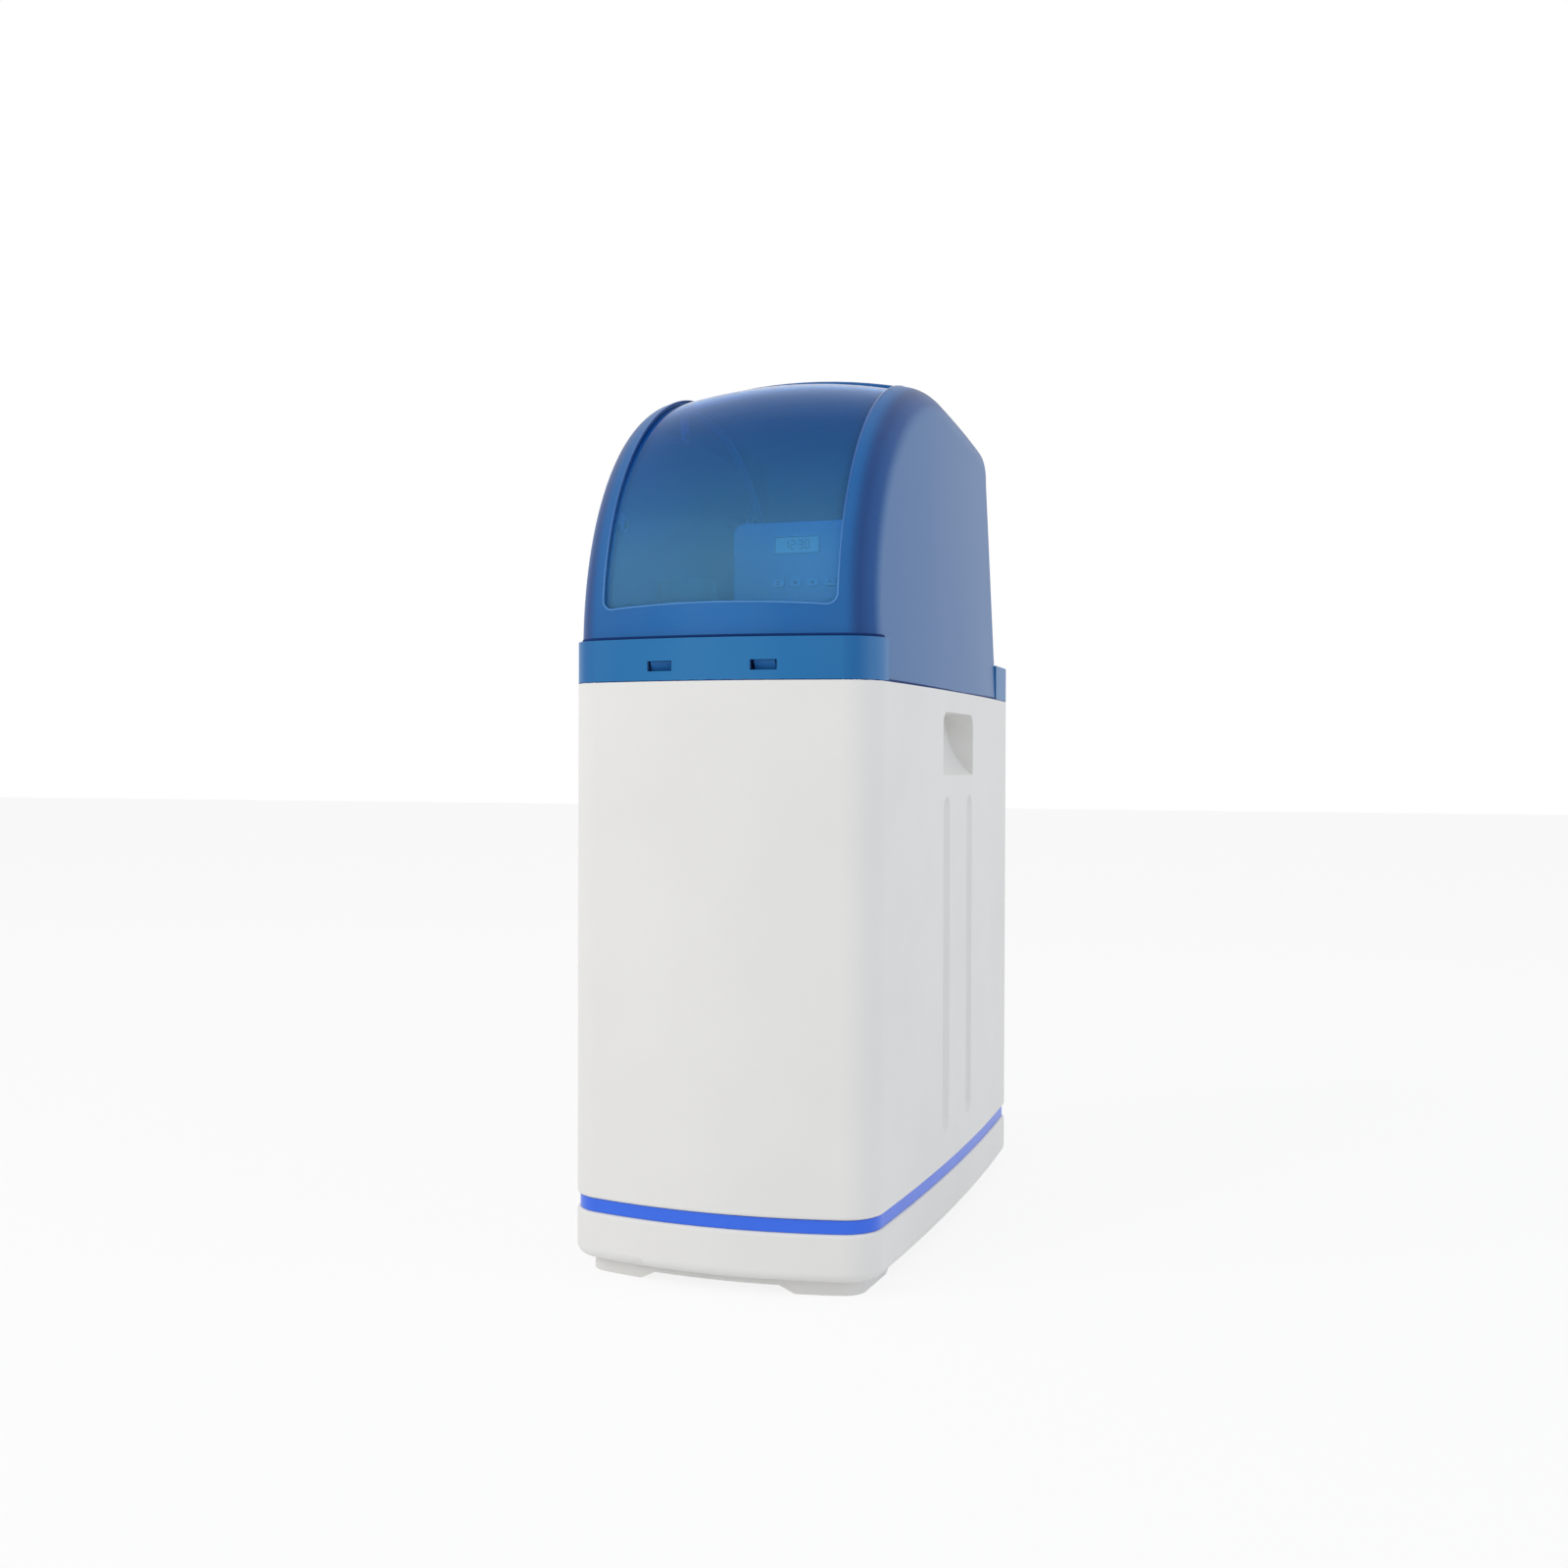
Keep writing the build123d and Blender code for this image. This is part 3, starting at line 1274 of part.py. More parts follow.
# Bypass valve: two barrels, two cross tubes and two plug housings
with BuildPart() as bypass_body:
    with BuildSketch(Plane.XZ.offset(-port_back)):
        with Locations((-port_x, port_height), (port_x, port_height)):
            Circle(bypass_radius)
    extrude(amount=port_back - bypass_end)
    with BuildSketch(Plane.XZ.offset(-port_back)):
        with Locations((-port_x, port_height), (port_x, port_height)):
            Circle(flange_radius)
    extrude(amount=-flange_thickness)
    with BuildSketch(Plane.XZ.offset(-bypass_end)):
        with Locations((-port_x, port_height), (port_x, port_height)):
            Circle(thread_radius)
    extrude(amount=-thread_length)
    with BuildSketch(Plane.YZ):
        with Locations((bypass_y, port_height), (bypass_y - bypass_cross_gap, port_height)):
            Circle(bypass_cross_radius)
    extrude(amount=port_x, both=True)
    with BuildSketch(Plane.XY.offset(plug_housing_bottom)):
        with Locations((-port_x, bypass_y), (port_x, bypass_y)):
            Circle(plug_housing_radius)
    extrude(amount=plug_housing_top - plug_housing_bottom)
    with BuildSketch(Plane.XZ.offset(-bypass_end - thread_length)):
        with Locations((-port_x, port_height), (port_x, port_height)):
            Circle(plug_port)
    extrude(amount=bypass_end + thread_length - port_back, mode=Mode.SUBTRACT)
    with BuildSketch(Plane.XZ.offset(-bypass_end - thread_length)):
        with Locations((-port_x, port_height), (port_x, port_height)):
            Circle(thread_bore)
    extrude(amount=thread_length, mode=Mode.SUBTRACT)
    with BuildSketch(Plane.XY.offset(plug_bottom - fit_gap)):
        with Locations((-port_x, bypass_y), (port_x, bypass_y)):
            Circle(plug_radius)
    extrude(amount=plug_housing_top - plug_bottom + overrun, mode=Mode.SUBTRACT)
bypass_body.part.label = "bypass_body"
export_step(bypass_body.part, "parts/bypass_body.step")

# Clips that hold the bypass to the valve's ports
with BuildPart() as port_clips:
    with BuildSketch(Plane.XZ.offset(-port_back - flange_thickness - fit_gap)):
        with Locations((-port_x, port_height), (port_x, port_height)):
            Circle(flange_radius + fit_gap + clip_thickness)
            Circle(bypass_radius + fit_gap, mode=Mode.SUBTRACT)
    extrude(amount=-clip_thickness)
    with BuildSketch(Plane.XZ.offset(-port_back + flange_thickness + fit_gap)):
        with Locations((-port_x, port_height), (port_x, port_height)):
            Circle(flange_radius + fit_gap + clip_thickness)
            Circle(bypass_radius + fit_gap, mode=Mode.SUBTRACT)
    extrude(amount=clip_thickness)
    with BuildSketch(Plane.XZ.offset(-port_back - flange_thickness - fit_gap)):
        with Locations((-port_x, port_height), (port_x, port_height)):
            Circle(flange_radius + fit_gap + clip_thickness)
            Circle(flange_radius + fit_gap, mode=Mode.SUBTRACT)
    extrude(amount=2 * flange_thickness + 2 * fit_gap)
    with BuildSketch(Plane.XY.offset(port_height - flange_radius - overrun)):
        with Locations((-port_x, port_back), (port_x, port_back)):
            Rectangle(2 * bypass_radius - clip_width, 2 * overrun)
    extrude(amount=flange_radius + overrun, mode=Mode.SUBTRACT)
port_clips.part.label = "port_clips"
export_step(port_clips.part, "parts/port_clips.step")

# Bypass handles with their plugs
for side, name in ((-1, "inlet_handle"), (1, "outlet_handle")):
    with BuildPart() as handle:
        with BuildSketch(Plane.XY.offset(plug_bottom)):
            with Locations((side * port_x, bypass_y)):
                Circle(plug_radius - running_gap)
        extrude(amount=plug_housing_top - plug_bottom + fit_gap)
        with BuildSketch(Plane.XY.offset(plug_housing_top + fit_gap)):
            with Locations((side * port_x, bypass_y)):
                Circle(handle_radius)
        extrude(amount=handle_thickness)
        with BuildSketch(Plane.XY.offset(plug_housing_top + fit_gap + handle_thickness)):
            with Locations((side * port_x, bypass_y)):
                SlotOverall(grip_length, grip_width, rotation=90)
        extrude(amount=grip_height)
        fillet(handle.faces().sort_by(Axis.Z)[-1].edges(), button_corner)
        with BuildSketch(Plane.XZ.offset(-bypass_y)):
            with Locations((side * port_x, port_height)):
                Circle(plug_port)
        extrude(amount=plug_radius, both=True, mode=Mode.SUBTRACT)
    handle.part.label = name
    export_step(handle.part, f"parts/{name}.step")

# Turbine of the water meter and the ring that carries it
with BuildPart() as meter_ring:
    with BuildSketch(Plane.XZ.offset(-meter_y)):
        with Locations((port_x, port_height)):
            Circle(port_bore - fit_gap)
            Circle(port_bore - fit_gap - meter_ring_wall, mode=Mode.SUBTRACT)
    extrude(amount=-meter_ring_length)
    with BuildSketch(Plane.XZ.offset(-meter_y)):
        with Locations((port_x, port_height)):
            with PolarLocations(0, meter_spokes):
                Rectangle(port_bore - fit_gap - meter_ring_wall / 2, meter_ring_wall,
                          align=(Align.MIN, Align.CENTER))
            Circle(meter_hub_radius)
    extrude(amount=-2 * meter_ring_wall)
    with BuildSketch(Plane.XZ.offset(-meter_y)):
        with Locations((port_x, port_height)):
            Circle(meter_pin_radius)
    extrude(amount=-meter_ring_length)
meter_ring.part.label = "meter_ring"
export_step(meter_ring.part, "parts/meter_ring.step")

turbine_start = meter_y + 2 * meter_ring_wall + fit_gap
with BuildPart() as meter_turbine:
    with BuildSketch(Plane.XZ.offset(-turbine_start)):
        with Locations((port_x, port_height)):
            with PolarLocations(0, meter_blades):
                Rectangle(port_bore - meter_ring_wall - blade_gap, meter_blade_thickness,
                          align=(Align.MIN, Align.CENTER))
            Circle(meter_hub_radius)
            Circle(meter_pin_radius + running_gap, mode=Mode.SUBTRACT)
    extrude(amount=-meter_blade_length)
meter_turbine.part.label = "meter_turbine"
export_step(meter_turbine.part, "parts/meter_turbine.step")


def hose_barb(start, along, across):
    # Hose barb with sloping ridges, from a start point along a direction
    plane = Plane(origin=start, x_dir=across, z_dir=Vector(*across).cross(Vector(*along)))
    with BuildPart(mode=Mode.PRIVATE) as barb:
        with BuildSketch(plane) as profile:
            with BuildLine():
                outline = [(0, 0), (barb_radius, 0)]
                for ridge in range(barb_ridges):
                    place = barb_length - (barb_ridges - ridge) * barb_pitch
                    outline += [(barb_radius, place), (barb_radius + barb_ridge, place)]
                outline += [(barb_radius, barb_length), (0, barb_length)]
                Polyline(*outline, close=True)
            make_face()
        revolve(axis=Axis(start, along))
    return barb.part


def hose_elbow(start, along, across, bend):
    # Quarter bend from a start point, turned towards a side, then a hose barb, bored through
    centre = Vector(*start) + bend * Vector(*across)
    turn_axis = Axis(centre, Vector(*along).cross(Vector(*across)))
    end = centre + bend * Vector(*along)
    with BuildPart(mode=Mode.PRIVATE) as elbow:
        with BuildSketch(Plane(origin=start, z_dir=along)):
            Circle(elbow_radius)
        revolve(axis=turn_axis, revolution_arc=90)
        add(hose_barb((end.X, end.Y, end.Z), across, along))
        with BuildSketch(Plane(origin=start, z_dir=along)):
            Circle(barb_bore)
        revolve(axis=turn_axis, revolution_arc=90, mode=Mode.SUBTRACT)
        with BuildSketch(Plane(origin=end, z_dir=across)):
            Circle(barb_bore)
        extrude(amount=barb_length, mode=Mode.SUBTRACT)
    return elbow.part


# Drain elbow on the valve's right side, its barb to the back
with BuildPart() as drain_elbow:
    add(hose_elbow((side_port_reach, side_port_y, port_height), (1, 0, 0), (0, 1, 0), drain_offset))
drain_elbow.part.label = "drain_elbow"
export_step(drain_elbow.part, "parts/drain_elbow.step")

# Overflow elbow in the back recess, its barb pointing down
with BuildPart() as overflow_elbow:
    add(hose_elbow((recess_x, recess_floor_y, overflow_z), (0, 1, 0), (0, 0, -1), overflow_reach))
    with BuildSketch(Plane.XZ.offset(-recess_floor_y)):
        with Locations((recess_x, overflow_z)):
            Circle(overflow_flange_radius)
            Circle(barb_bore, mode=Mode.SUBTRACT)
    extrude(amount=-overflow_flange)
    with BuildSketch(Plane.XZ.offset(-recess_floor_y)):
        with Locations((recess_x, overflow_z)):
            Circle(overflow_stub_radius)
            Circle(barb_bore, mode=Mode.SUBTRACT)
    extrude(amount=cabinet_wall + overflow_nut_thickness + edge_round)
    with BuildSketch(Plane(origin=(recess_x, recess_floor_y, overflow_z), z_dir=(0, 1, 0))):
        Circle(barb_bore)
    revolve(axis=Axis((recess_x, recess_floor_y, overflow_z - overflow_reach), (-1, 0, 0)),
            revolution_arc=90, mode=Mode.SUBTRACT)
overflow_elbow.part.label = "overflow_elbow"
export_step(overflow_elbow.part, "parts/overflow_elbow.step")

with BuildPart() as overflow_nut:
    with BuildSketch(Plane.XZ.offset(cabinet_wall - recess_floor_y)):
        with Locations((recess_x, overflow_z)):
            RegularPolygon(overflow_nut_radius, nut_sides)
            Circle(overflow_stub_radius + pilot_gap, mode=Mode.SUBTRACT)
    extrude(amount=overflow_nut_thickness)
overflow_nut.part.label = "overflow_nut"
export_step(overflow_nut.part, "parts/overflow_nut.step")

# Brine well
well_inner = well_radius - well_wall
with BuildPart() as brine_well:
    with BuildSketch(Plane.XY.offset(floor_height)):
        with Locations((well_x, well_y)):
            Circle(well_radius)
            Circle(well_inner, mode=Mode.SUBTRACT)
    extrude(amount=well_top - floor_height)
    with BuildSketch(Plane.XZ.offset(-well_y)):
        with Locations((well_x, floor_height + well_slot_pitch * (well_slot_rows + 2) / 2)):
            with GridLocations(well_slot_pitch, well_slot_pitch, well_slot_columns, well_slot_rows):
                Rectangle(well_slot_width, well_slot_height)
    extrude(amount=well_radius + overrun, both=True, mode=Mode.SUBTRACT)
    with BuildSketch(Plane.XZ.offset(-well_y)):
        with Locations((well_x, brine_pipe_top)):
            Circle(brine_pipe_radius + fit_gap)
    extrude(amount=-well_radius - overrun, mode=Mode.SUBTRACT)
brine_well.part.label = "brine_well"
export_step(brine_well.part, "parts/brine_well.step")

# Cap of the brine well, which lifts off
with BuildPart() as well_cap:
    with BuildSketch(Plane.XY.offset(well_top + fit_gap)):
        with Locations((well_x, well_y)):
            Circle(well_radius + fit_gap + cap_wall)
    extrude(amount=cap_thickness)
    with BuildSketch(Plane.XY.offset(well_top + fit_gap)):
        with Locations((well_x, well_y)):
            Circle(well_radius + fit_gap + cap_wall)
            Circle(well_radius + fit_gap, mode=Mode.SUBTRACT)
    extrude(amount=-cap_skirt)
    fillet(well_cap.faces().sort_by(Axis.Z)[-1].edges(), cap_round)
well_cap.part.label = "well_cap"
export_step(well_cap.part, "parts/well_cap.step")

# Brine pipe inside the well, with the stop of the float and an air check at its foot
with BuildPart() as brine_pipe:
    with BuildSketch(Plane.XY.offset(floor_height)):
        with Locations((well_x, well_y)):
            Circle(brine_foot_radius)
    extrude(amount=brine_foot_height)
    with BuildSketch(Plane.XY.offset(floor_height)):
        with Locations((well_x, well_y)):
            Circle(brine_pipe_radius)
    extrude(amount=brine_pipe_top - floor_height)
    with BuildSketch(Plane.XY.offset(float_bottom - fit_gap)):
        with Locations((well_x, well_y)):
            Circle(float_stop_radius)
    extrude(amount=-float_stop)
    with Locations((well_x, well_y, brine_pipe_top)):
        Sphere(brine_pipe_radius)
    with BuildSketch(Plane.XZ.offset(-well_y)):
        with Locations((well_x, brine_pipe_top)):
            Circle(brine_pipe_radius)
    extrude(amount=-well_radius - cap_wall)
    with BuildSketch(Plane.XZ.offset(-well_y)):
        with Locations((well_x, brine_pipe_top)):
            Circle(brine_pipe_bore)
    extrude(amount=-well_radius - cap_wall, mode=Mode.SUBTRACT)
    with BuildSketch(Plane.XY.offset(brine_pipe_top)):
        with Locations((well_x, well_y)):
            Circle(brine_pipe_bore)
    extrude(amount=floor_height + brine_foot_height / 2 - brine_pipe_top, mode=Mode.SUBTRACT)
brine_pipe.part.label = "brine_pipe"
export_step(brine_pipe.part, "parts/brine_pipe.step")

with BuildPart() as brine_float:
    with BuildSketch(Plane.XY.offset(float_bottom)):
        with Locations((well_x, well_y)):
            Circle(float_radius)
            Circle(brine_pipe_radius + fit_gap, mode=Mode.SUBTRACT)
    extrude(amount=float_height)
    chamfer(brine_float.edges().filter_by(GeomType.CIRCLE).filter_by(lambda edge: edge.radius > brine_foot_radius),
            cap_wall)
brine_float.part.label = "brine_float"
export_step(brine_float.part, "parts/brine_float.step")

# Brine tube from the well to the valve's left port, straight runs joined by arcs
tube_start = Vector(-side_port_reach, side_port_y, port_height)
tube_end = Vector(well_x, well_y + well_radius + cap_wall, brine_pipe_top)
tube_route = [
    tube_start,
    tube_start + Vector(-18.0, 0, 0),
    tube_start + Vector(-32.0, -12.0, -2.0),
    tube_start + Vector(-37.0, -31.0, -8.0),
    tube_start + Vector(-35.0, -53.0, -19.0),
    tube_end + Vector(-17.0, 66.0, 33.0),
    tube_end + Vector(-8.0, 45.0, 13.0),
    tube_end + Vector(0, 22.0, 0),
    tube_end,
]
tube_vectors = [after - before for before, after in zip(tube_route, tube_route[1:])]
tube_radii = []
for before, after in zip(tube_vectors, tube_vectors[1:]):
    turn = math.radians(before.get_angle(after))
    tube_radii.append(tube_bend_share * min(before.length, after.length) / math.tan(turn / 2))
print("brine tube bend radii", [round(radius, 1) for radius in tube_radii])
with BuildPart() as brine_tube:
    with BuildLine() as tube_path:
        FilletPolyline(*tube_route, radius=tube_radii)
    with BuildSketch(Plane(origin=tube_path.line @ 0, z_dir=tube_path.line % 0)):
        Circle(brine_tube_radius)
        Circle(brine_tube_bore, mode=Mode.SUBTRACT)
    sweep()
brine_tube.part.label = "brine_tube"
export_step(brine_tube.part, "parts/brine_tube.step")

# Salt grid on four legs, with as many slots as its plate has room for
grid_inset = cabinet_wall + band_groove + fit_gap
grid_back = tank_y - tank_radius - fit_gap - boot_wall - grid_gap
grid_front = grid_inset - body_depth / 2
grid_slot_columns = int((body_width - 2 * grid_inset - 2 * grid_rim) / grid_pitch_x)
grid_slot_rows = int((grid_back - grid_front - 2 * grid_rim) / grid_pitch_y)
grid_leg_x = body_width / 2 - grid_leg_side
grid_leg_front = grid_leg_front_inset - body_depth / 2
grid_leg_back = grid_back - grid_leg_back_inset
with BuildPart() as salt_grid:
    add(slab(grid_inset, grid_height, grid_height + grid_thickness))
    with BuildSketch(Plane.XY.offset(grid_height)):
        with Locations((0, grid_back)):
            Rectangle(2 * body_width, body_depth, align=(Align.CENTER, Align.MIN))
    extrude(amount=grid_thickness, mode=Mode.SUBTRACT)
    with BuildSketch(Plane.XY.offset(grid_height)):
        with Locations((0, (grid_leg_front + grid_leg_back) / 2)):
            with GridLocations(grid_pitch_x, grid_pitch_y, grid_slot_columns, grid_slot_rows):
                Rectangle(grid_slot_length, grid_slot_width)
    extrude(amount=grid_thickness, mode=Mode.SUBTRACT)
    with BuildSketch(Plane.XY.offset(grid_height + grid_thickness)):
        for x in (-grid_leg_x, grid_leg_x):
            for y in (grid_leg_front, grid_leg_back):
                with Locations((x, y)):
                    Circle(grid_leg_radius)
    extrude(amount=floor_height - grid_height - grid_thickness)
    with BuildSketch(Plane.XY.offset(floor_height)):
        with Locations((well_x, well_y)):
            Circle(well_radius + fit_gap)
    extrude(amount=grid_height, mode=Mode.SUBTRACT)
salt_grid.part.label = "salt_grid"
export_step(salt_grid.part, "parts/salt_grid.step")
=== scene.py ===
import bpy
import json
import math
import numpy as np
from mathutils import Matrix, Vector
from mathutils.geometry import convex_hull_2d


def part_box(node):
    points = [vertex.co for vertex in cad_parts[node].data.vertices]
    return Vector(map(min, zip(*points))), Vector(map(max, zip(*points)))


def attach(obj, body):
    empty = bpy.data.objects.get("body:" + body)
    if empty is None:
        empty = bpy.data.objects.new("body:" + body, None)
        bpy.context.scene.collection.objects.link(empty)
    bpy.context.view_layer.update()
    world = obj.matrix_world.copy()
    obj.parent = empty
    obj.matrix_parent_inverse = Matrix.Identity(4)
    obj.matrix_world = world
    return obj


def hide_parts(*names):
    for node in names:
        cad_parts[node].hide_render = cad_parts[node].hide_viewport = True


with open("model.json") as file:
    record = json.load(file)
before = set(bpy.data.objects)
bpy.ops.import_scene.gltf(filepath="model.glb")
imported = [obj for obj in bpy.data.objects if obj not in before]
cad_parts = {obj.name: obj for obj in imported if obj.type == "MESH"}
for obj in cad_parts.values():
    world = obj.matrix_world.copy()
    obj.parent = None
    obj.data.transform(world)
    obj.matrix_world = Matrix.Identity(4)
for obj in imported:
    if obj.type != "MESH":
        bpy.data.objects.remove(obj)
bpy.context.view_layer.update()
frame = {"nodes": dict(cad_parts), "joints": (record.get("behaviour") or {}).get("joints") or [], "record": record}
nodes = frame["nodes"]
mm = 0.001
print("frame loaded:", len(nodes), "nodes")

# a colour mix shares the names of its sockets with other mixes, so its two tones and its result go by number
mixFirst = 6
mixSecond = 7
mixResult = 2


# hex sRGB text to the linear values that shaders read, by the curve of the sRGB standard
def linearColour(hexText):
    channels = [int(hexText[i:i + 2], 16) / 255 for i in (1, 3, 5)]
    linear = [c / 12.92 if c <= 0.04045 else ((c + 0.055) / 1.055) ** 2.4 for c in channels]
    return (*linear, 1.0)


# one node with its settings and its inputs, each a value or another node's output
def addNode(tree, kind, inputs=None, **settings):
    node = tree.nodes.new(kind)
    for name, value in settings.items():
        setattr(node, name, value)
    for socket, value in (inputs or {}).items():
        if isinstance(value, bpy.types.NodeSocket):
            tree.links.new(value, node.inputs[socket])
        else:
            node.inputs[socket].default_value = value
    return node


# an empty material and its node tree
def newMaterial(name):
    material = bpy.data.materials.new(name)
    material.use_nodes = True
    tree = material.node_tree
    tree.nodes.clear()
    return material, tree


# two tones of one colour, drifting into each other in patches of a given size
def driftingTone(tree, place, tones, patchSize):
    patches = addNode(tree, "ShaderNodeTexNoise", {"Vector": place, "Scale": 1 / patchSize, "Detail": 2.0})
    mixed = addNode(tree, "ShaderNodeMix", {
        "Factor": patches.outputs["Fac"], mixFirst: linearColour(tones[0]), mixSecond: linearColour(tones[1]),
    }, data_type="RGBA")
    return mixed.outputs[mixResult], patches.outputs["Fac"]


# fine grain that a mould leaves: noise of the grain's size, a quarter of it deep
def mouldGrain(tree, place, look):
    grain = addNode(tree, "ShaderNodeTexNoise", {"Vector": place, "Scale": 1 / look["grain"], "Detail": 3.0})
    bump = addNode(tree, "ShaderNodeBump", {
        "Height": grain.outputs["Fac"], "Strength": look["bump"], "Distance": look["grain"] / 4,
    })
    return bump.outputs["Normal"]


# moulded plastic: tone drift, roughness drift and the grain of the mould
def mouldedPlastic(name, look):
    material, tree = newMaterial(name)
    place = addNode(tree, "ShaderNodeTexCoord").outputs["Object"]
    colour, patches = driftingTone(tree, place, look["tones"], look["patch"])
    rough = addNode(tree, "ShaderNodeMapRange", {
        "Value": patches, "To Min": look["rough"][0], "To Max": look["rough"][1],
    })
    # a glow, where a finish has one, is painted light
    shader = addNode(tree, "ShaderNodeBsdfPrincipled", {
        "Base Color": colour, "Roughness": rough.outputs["Result"], "Normal": mouldGrain(tree, place, look),
        "IOR": look["ior"], "Coat Weight": look.get("coat", 0.0),
        "Emission Color": linearColour(look.get("glow", "#000000")), "Emission Strength": 1.0,
    })
    addNode(tree, "ShaderNodeOutputMaterial", {"Surface": shader.outputs["BSDF"]})
    return material


# every moulded finish: real plastic, its tones, and what its mould or age gives the eye
mouldedLooks = {
    # rotomoulded polyethylene: warm white, satin, faintly mottled
    "polyethyleneWhite": {"tones": ("#EDECE9", "#E6E5E2"), "patch": 0.09, "rough": (0.36, 0.46),
                          "grain": 0.0016, "bump": 0.10, "ior": 1.51},
    # extruded PVC strip: saturated royal blue with a soft shine
    "vinylRoyalBlue": {"tones": ("#2A6CF0", "#2463E2"), "patch": 0.05, "rough": (0.26, 0.34),
                       "grain": 0.0012, "bump": 0.05, "ior": 1.53},
    # glass-filled nylon of valve and bypass: near black, dry, with flow marks
    "filledNylonBlack": {"tones": ("#1C1D1F", "#26272A"), "patch": 0.02, "rough": (0.42, 0.56),
                         "grain": 0.0009, "bump": 0.22, "ior": 1.53},
    # ABS cover of the valve head: pale cool grey, spark-eroded mould
    "absPaleGrey": {"tones": ("#C9CDD3", "#C2C6CD"), "patch": 0.05, "rough": (0.40, 0.50),
                    "grain": 0.0008, "bump": 0.18, "ior": 1.52},
    # injection-moulded ABS of well, pipe, clips and fittings: clean white
    "absWhite": {"tones": ("#ECEBE6", "#E4E3DD"), "patch": 0.03, "rough": (0.34, 0.44),
                 "grain": 0.0010, "bump": 0.08, "ior": 1.52},
    # acetal gears and shaft: milky white and waxy
    "acetalNatural": {"tones": ("#EFECDD", "#E6E2D0"), "patch": 0.012, "rough": (0.28, 0.36),
                      "grain": 0.0006, "bump": 0.06, "ior": 1.48},
    # ground alumina of the sealing discs: ivory, smooth
    "aluminaIvory": {"tones": ("#F0EDE4", "#EAE6DA"), "patch": 0.01, "rough": (0.12, 0.18),
                     "grain": 0.0004, "bump": 0.03, "ior": 1.77},
    # red acetal of the bypass taps
    "acetalRed": {"tones": ("#A81A16", "#951310"), "patch": 0.012, "rough": (0.28, 0.38),
                  "grain": 0.0008, "bump": 0.08, "ior": 1.48},
    # face of the control panel: pale grey, satin
    "absPanel": {"tones": ("#D6DCE6", "#CED5E0"), "patch": 0.05, "rough": (0.34, 0.44),
                 "grain": 0.0008, "bump": 0.12, "ior": 1.52},
    # silicone keys: nearly white, soft, without shine
    "siliconePale": {"tones": ("#F2F8FC", "#E9F2F8"), "patch": 0.006, "rough": (0.55, 0.66),
                     "grain": 0.0004, "bump": 0.12, "ior": 1.43},
    # acetal of the window's rails: pale blue and waxy, seen at the window's edges
    "acetalBlue": {"tones": ("#86B8E6", "#7BADDC"), "patch": 0.02, "rough": (0.30, 0.40),
                   "grain": 0.0008, "bump": 0.06, "ior": 1.48},
    # moulded polypropylene of the tank's boot and the well's cap: slate blue, satin
    "polypropyleneSlate": {"tones": ("#3A4A5C", "#445468"), "patch": 0.03, "rough": (0.36, 0.46),
                           "grain": 0.0010, "bump": 0.10, "ior": 1.49},
    # slate print on the keys
    "slatePrint": {"tones": ("#5A7188", "#627A92"), "patch": 0.004, "rough": (0.42, 0.50),
                   "grain": 0.0003, "bump": 0.04, "ior": 1.50},
    # dark blue, dull cords in the seams: painted shadow lines where the seams lie in shade
    "shadowCordBlue": {"tones": ("#0A2E66", "#0E356E"), "patch": 0.02, "rough": (0.66, 0.78),
                   "grain": 0.0005, "bump": 0.10, "ior": 1.30},
    # liquid crystal segments: near black with a green cast
    "crystalSegment": {"tones": ("#1B2A24", "#22332C"), "patch": 0.004, "rough": (0.30, 0.36),
                       "grain": 0.0003, "bump": 0.02, "ior": 1.50},
    # liquid crystal glass: pale, with a thin gloss and a faint glow that is painted light, standing in for light
    # falling in through the window
    "crystalGlass": {"tones": ("#A9BDB8", "#A0B5B0"), "patch": 0.02, "rough": (0.08, 0.12),
                     "grain": 0.0006, "bump": 0.01, "ior": 1.52, "coat": 0.4, "glow": "#4A646E"},
}
plastics = {name: mouldedPlastic(name, look) for name, look in mouldedLooks.items()}
print("moulded finishes:", len(plastics))

# frosted ABS of the hood: deep blue where it faces the front, with painted shade round the corners and painted
# light on the sides, under streaks of painted light from inside
hoodLook = {
    "stops": ((0.0, "#146CB4"), (0.25, "#0A62A8"), (0.60, "#053F82"), (0.88, "#0A4E96"), (1.0, "#4876AE")),
    # pale upright streaks: painted light shining through the plastic from inside
    "paintedInnerLight": ("#8FB4DC", 0.07),
    "streak": 0.07,
    "streakSquash": 0.35,
    "rough": (0.30, 0.42),
    "grain": 0.0011,
    "bump": 0.08,
    "clear": 0.12,
    "ior": 1.53,
    "gloss": 0.12,
}
# the collar is of the same plastic, a little greener, and lighter on its sides with painted light
collarLook = {**hoodLook, "stops": ((0.0, "#1A77B6"), (0.5, "#1068AA"), (1.0, "#4682BC"))}
